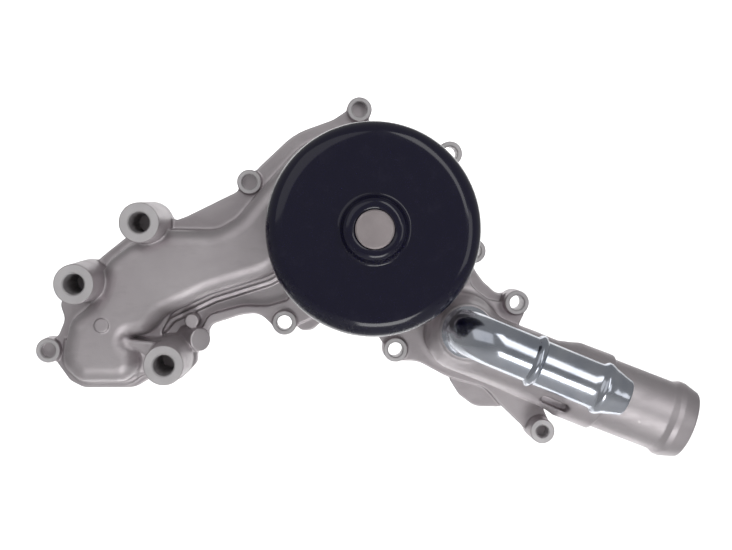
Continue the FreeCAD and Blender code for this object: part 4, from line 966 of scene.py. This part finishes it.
def main():
    """Builds every piece, dresses the nodes that stay, and sets the stage."""
    casting_metal = die_cast()
    machined = turned_metal(
        "machined_aluminium",
        colour=(0.68, 0.66, 0.67),
        dark=(0.60, 0.58, 0.59),
        low=0.42,
        high=0.54,
        marks=26,
        metallic=0.72,
    )
    ground = turned_metal(
        "ground_steel_look",
        colour=(0.66, 0.59, 0.60),
        dark=(0.55, 0.49, 0.50),
        low=0.24,
        high=0.34,
        marks=20,
    )
    black = black_enamel()
    plate = bright_plate()

    casting = smooth_piece("pump_casting", *mesh_of(cast_body()), casting_metal)
    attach(casting, "pump_body")
    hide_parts("housing")

    small = [(spot, OPEN_FACE) for spot in OPEN_BOSSES]
    small += [(spot, CLOSED_FACE) for spot in CLOSED_BOSSES]
    linings = [(f"boss_face_{k}", *face) for k, face in enumerate(small)]
    linings.append(("low_boss_face", LOW_BOSS, LOW_FACE))
    linings.append(("corner_boss_face", CORNER_BOSS, CORNER_FACE))
    linings += [(f"tall_boss_face_{k}", spot, TALL_FACE) for k, spot in enumerate(TALL_BOSSES)]
    for name, spot, sizes in linings:
        dress(machined_ring(name, spot, *sizes, machined))

    tube = return_tube(plate)
    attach(tube, "pump_body")
    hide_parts("heater_return_tube")

    pulley = belt_pulley(black)
    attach(pulley, "rotor")
    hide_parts("belt_pulley")

    spindle = shaft(ground)
    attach(spindle, "rotor")
    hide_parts("pump_shaft")

    dress_nodes()
    set_stage()


def dress(piece):
    """Lets a lining ride on the casting."""
    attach(piece, "pump_body")


def dress_nodes():
    """Gives the slots of each node that keeps its CAD shape a finish of their own."""
    finishes = {slot: plain_finish(*look) for slot, look in NODE_FINISHES.items()}
    for name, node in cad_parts.items():
        if name in REPLACED:
            continue
        for slot in node.material_slots:
            slot.material = finishes.get(slot.material.name.split(".")[0], slot.material)


# ---------------------------------------------------------------------------------------------
# The stage, in metres

CAMERA_PLACE = (-0.02811, -0.650, 0.00188)
CAMERA_TILT = math.radians(90 - 2.1586)
CAMERA_TURN = math.radians(-2.4156)
CAMERA_LENS = 65.24
CAMERA_SENSOR = 36.0

SKY_STRENGTH = 0.3
FLOOR_LEVEL = -0.9
FLOOR_FRONT = -3.0
PAPER_BACK = 1.6
PAPER_TOP = 1.1
PAPER_HALF = 1.6
PAPER_BEND = 0.6
PUMP_MIDDLE = (-0.01, -0.03, -0.02)

# name, place, width, height and watts of each lamp that faces the pump
LAMPS = [
    ("low", (0.15, -1.0, -0.75), 0.45, 0.45, 3.0),
    ("right", (0.85, -0.9, -0.10), 0.5, 0.5, 0.9),
    ("key", (-0.62, -1.05, 0.62), 1.2, 1.2, 2.4),
    ("front", (0.54, -1.1, 0.62), 0.4, 1.2, 3.2),
]
# the lamps behind the pump, which light the paper: name and level
PAPER_LAMPS = [("paper_high", 0.9), ("paper_low", -0.75)]
PAPER_LAMP_DEPTH = 0.5
PAPER_LAMP_SIZE = 1.2
PAPER_LAMP_POWER = 19.0


def set_stage():
    """A pale seamless floor, soft lights and the camera."""
    world = bpy.data.worlds.new("studio")
    bpy.context.scene.world = world
    world.use_nodes = True
    sky = world.node_tree.nodes["Background"]
    sky.inputs["Color"].default_value = (1, 1, 1, 1)
    sky.inputs["Strength"].default_value = SKY_STRENGTH

    backdrop()
    for name, place, width, height, power in LAMPS:
        area_light(name, place, PUMP_MIDDLE, width, height, power)
    for name, level in PAPER_LAMPS:
        place, target = (0.0, PAPER_LAMP_DEPTH, level), (0.0, PAPER_BACK, level)
        area_light(name, place, target, PAPER_LAMP_SIZE, PAPER_LAMP_SIZE, PAPER_LAMP_POWER)

    lens = bpy.data.cameras.new("camera")
    lens.lens = CAMERA_LENS
    lens.sensor_width = CAMERA_SENSOR
    camera = bpy.data.objects.new("camera", lens)
    camera.location = CAMERA_PLACE
    camera.rotation_euler = (CAMERA_TILT, 0, CAMERA_TURN)
    bpy.context.scene.collection.objects.link(camera)
    bpy.context.scene.camera = camera
    bpy.context.scene.view_settings.view_transform = "Standard"


def backdrop():
    """A sheet of paper that lies below the pump and bends up behind it."""
    paper = plain_finish(
        "paper",
        colour=(0.9, 0.9, 0.9),
        other=(0.88, 0.88, 0.88),
        metallic=0.0,
        low=0.7,
        high=0.9,
        grain=50,
        depth=0.0,
    )
    bend_start, steps = PAPER_BACK - PAPER_BEND, 16
    section = [(FLOOR_FRONT, FLOOR_LEVEL), (bend_start, FLOOR_LEVEL)]
    for k in range(1, steps + 1):
        angle = math.pi / 2 * k / steps
        rise = FLOOR_LEVEL + PAPER_BEND - PAPER_BEND * math.cos(angle)
        section.append((bend_start + PAPER_BEND * math.sin(angle), rise))
    section.append((PAPER_BACK, PAPER_TOP))
    vertices = [(x, y, z) for y, z in section for x in (-PAPER_HALF, PAPER_HALF)]
    faces = [(2 * k, 2 * k + 1, 2 * k + 3, 2 * k + 2) for k in range(len(section) - 1)]
    mesh = bpy.data.meshes.new("backdrop")
    mesh.from_pydata(vertices, [], faces)
    mesh.shade_smooth()
    mesh.materials.append(paper)
    sheet = bpy.data.objects.new("backdrop", mesh)
    bpy.context.scene.collection.objects.link(sheet)
    return sheet


def area_light(name, place, target, width, height, power):
    """A soft rectangular light aimed at a place."""
    lamp = bpy.data.lights.new(name, "AREA")
    lamp.shape = "RECTANGLE"
    lamp.size = width
    lamp.size_y = height
    lamp.energy = power
    light = bpy.data.objects.new(name, lamp)
    light.location = place
    light.rotation_euler = (Vector(target) - Vector(place)).to_track_quat("-Z", "Y").to_euler()
    bpy.context.scene.collection.objects.link(light)


main()
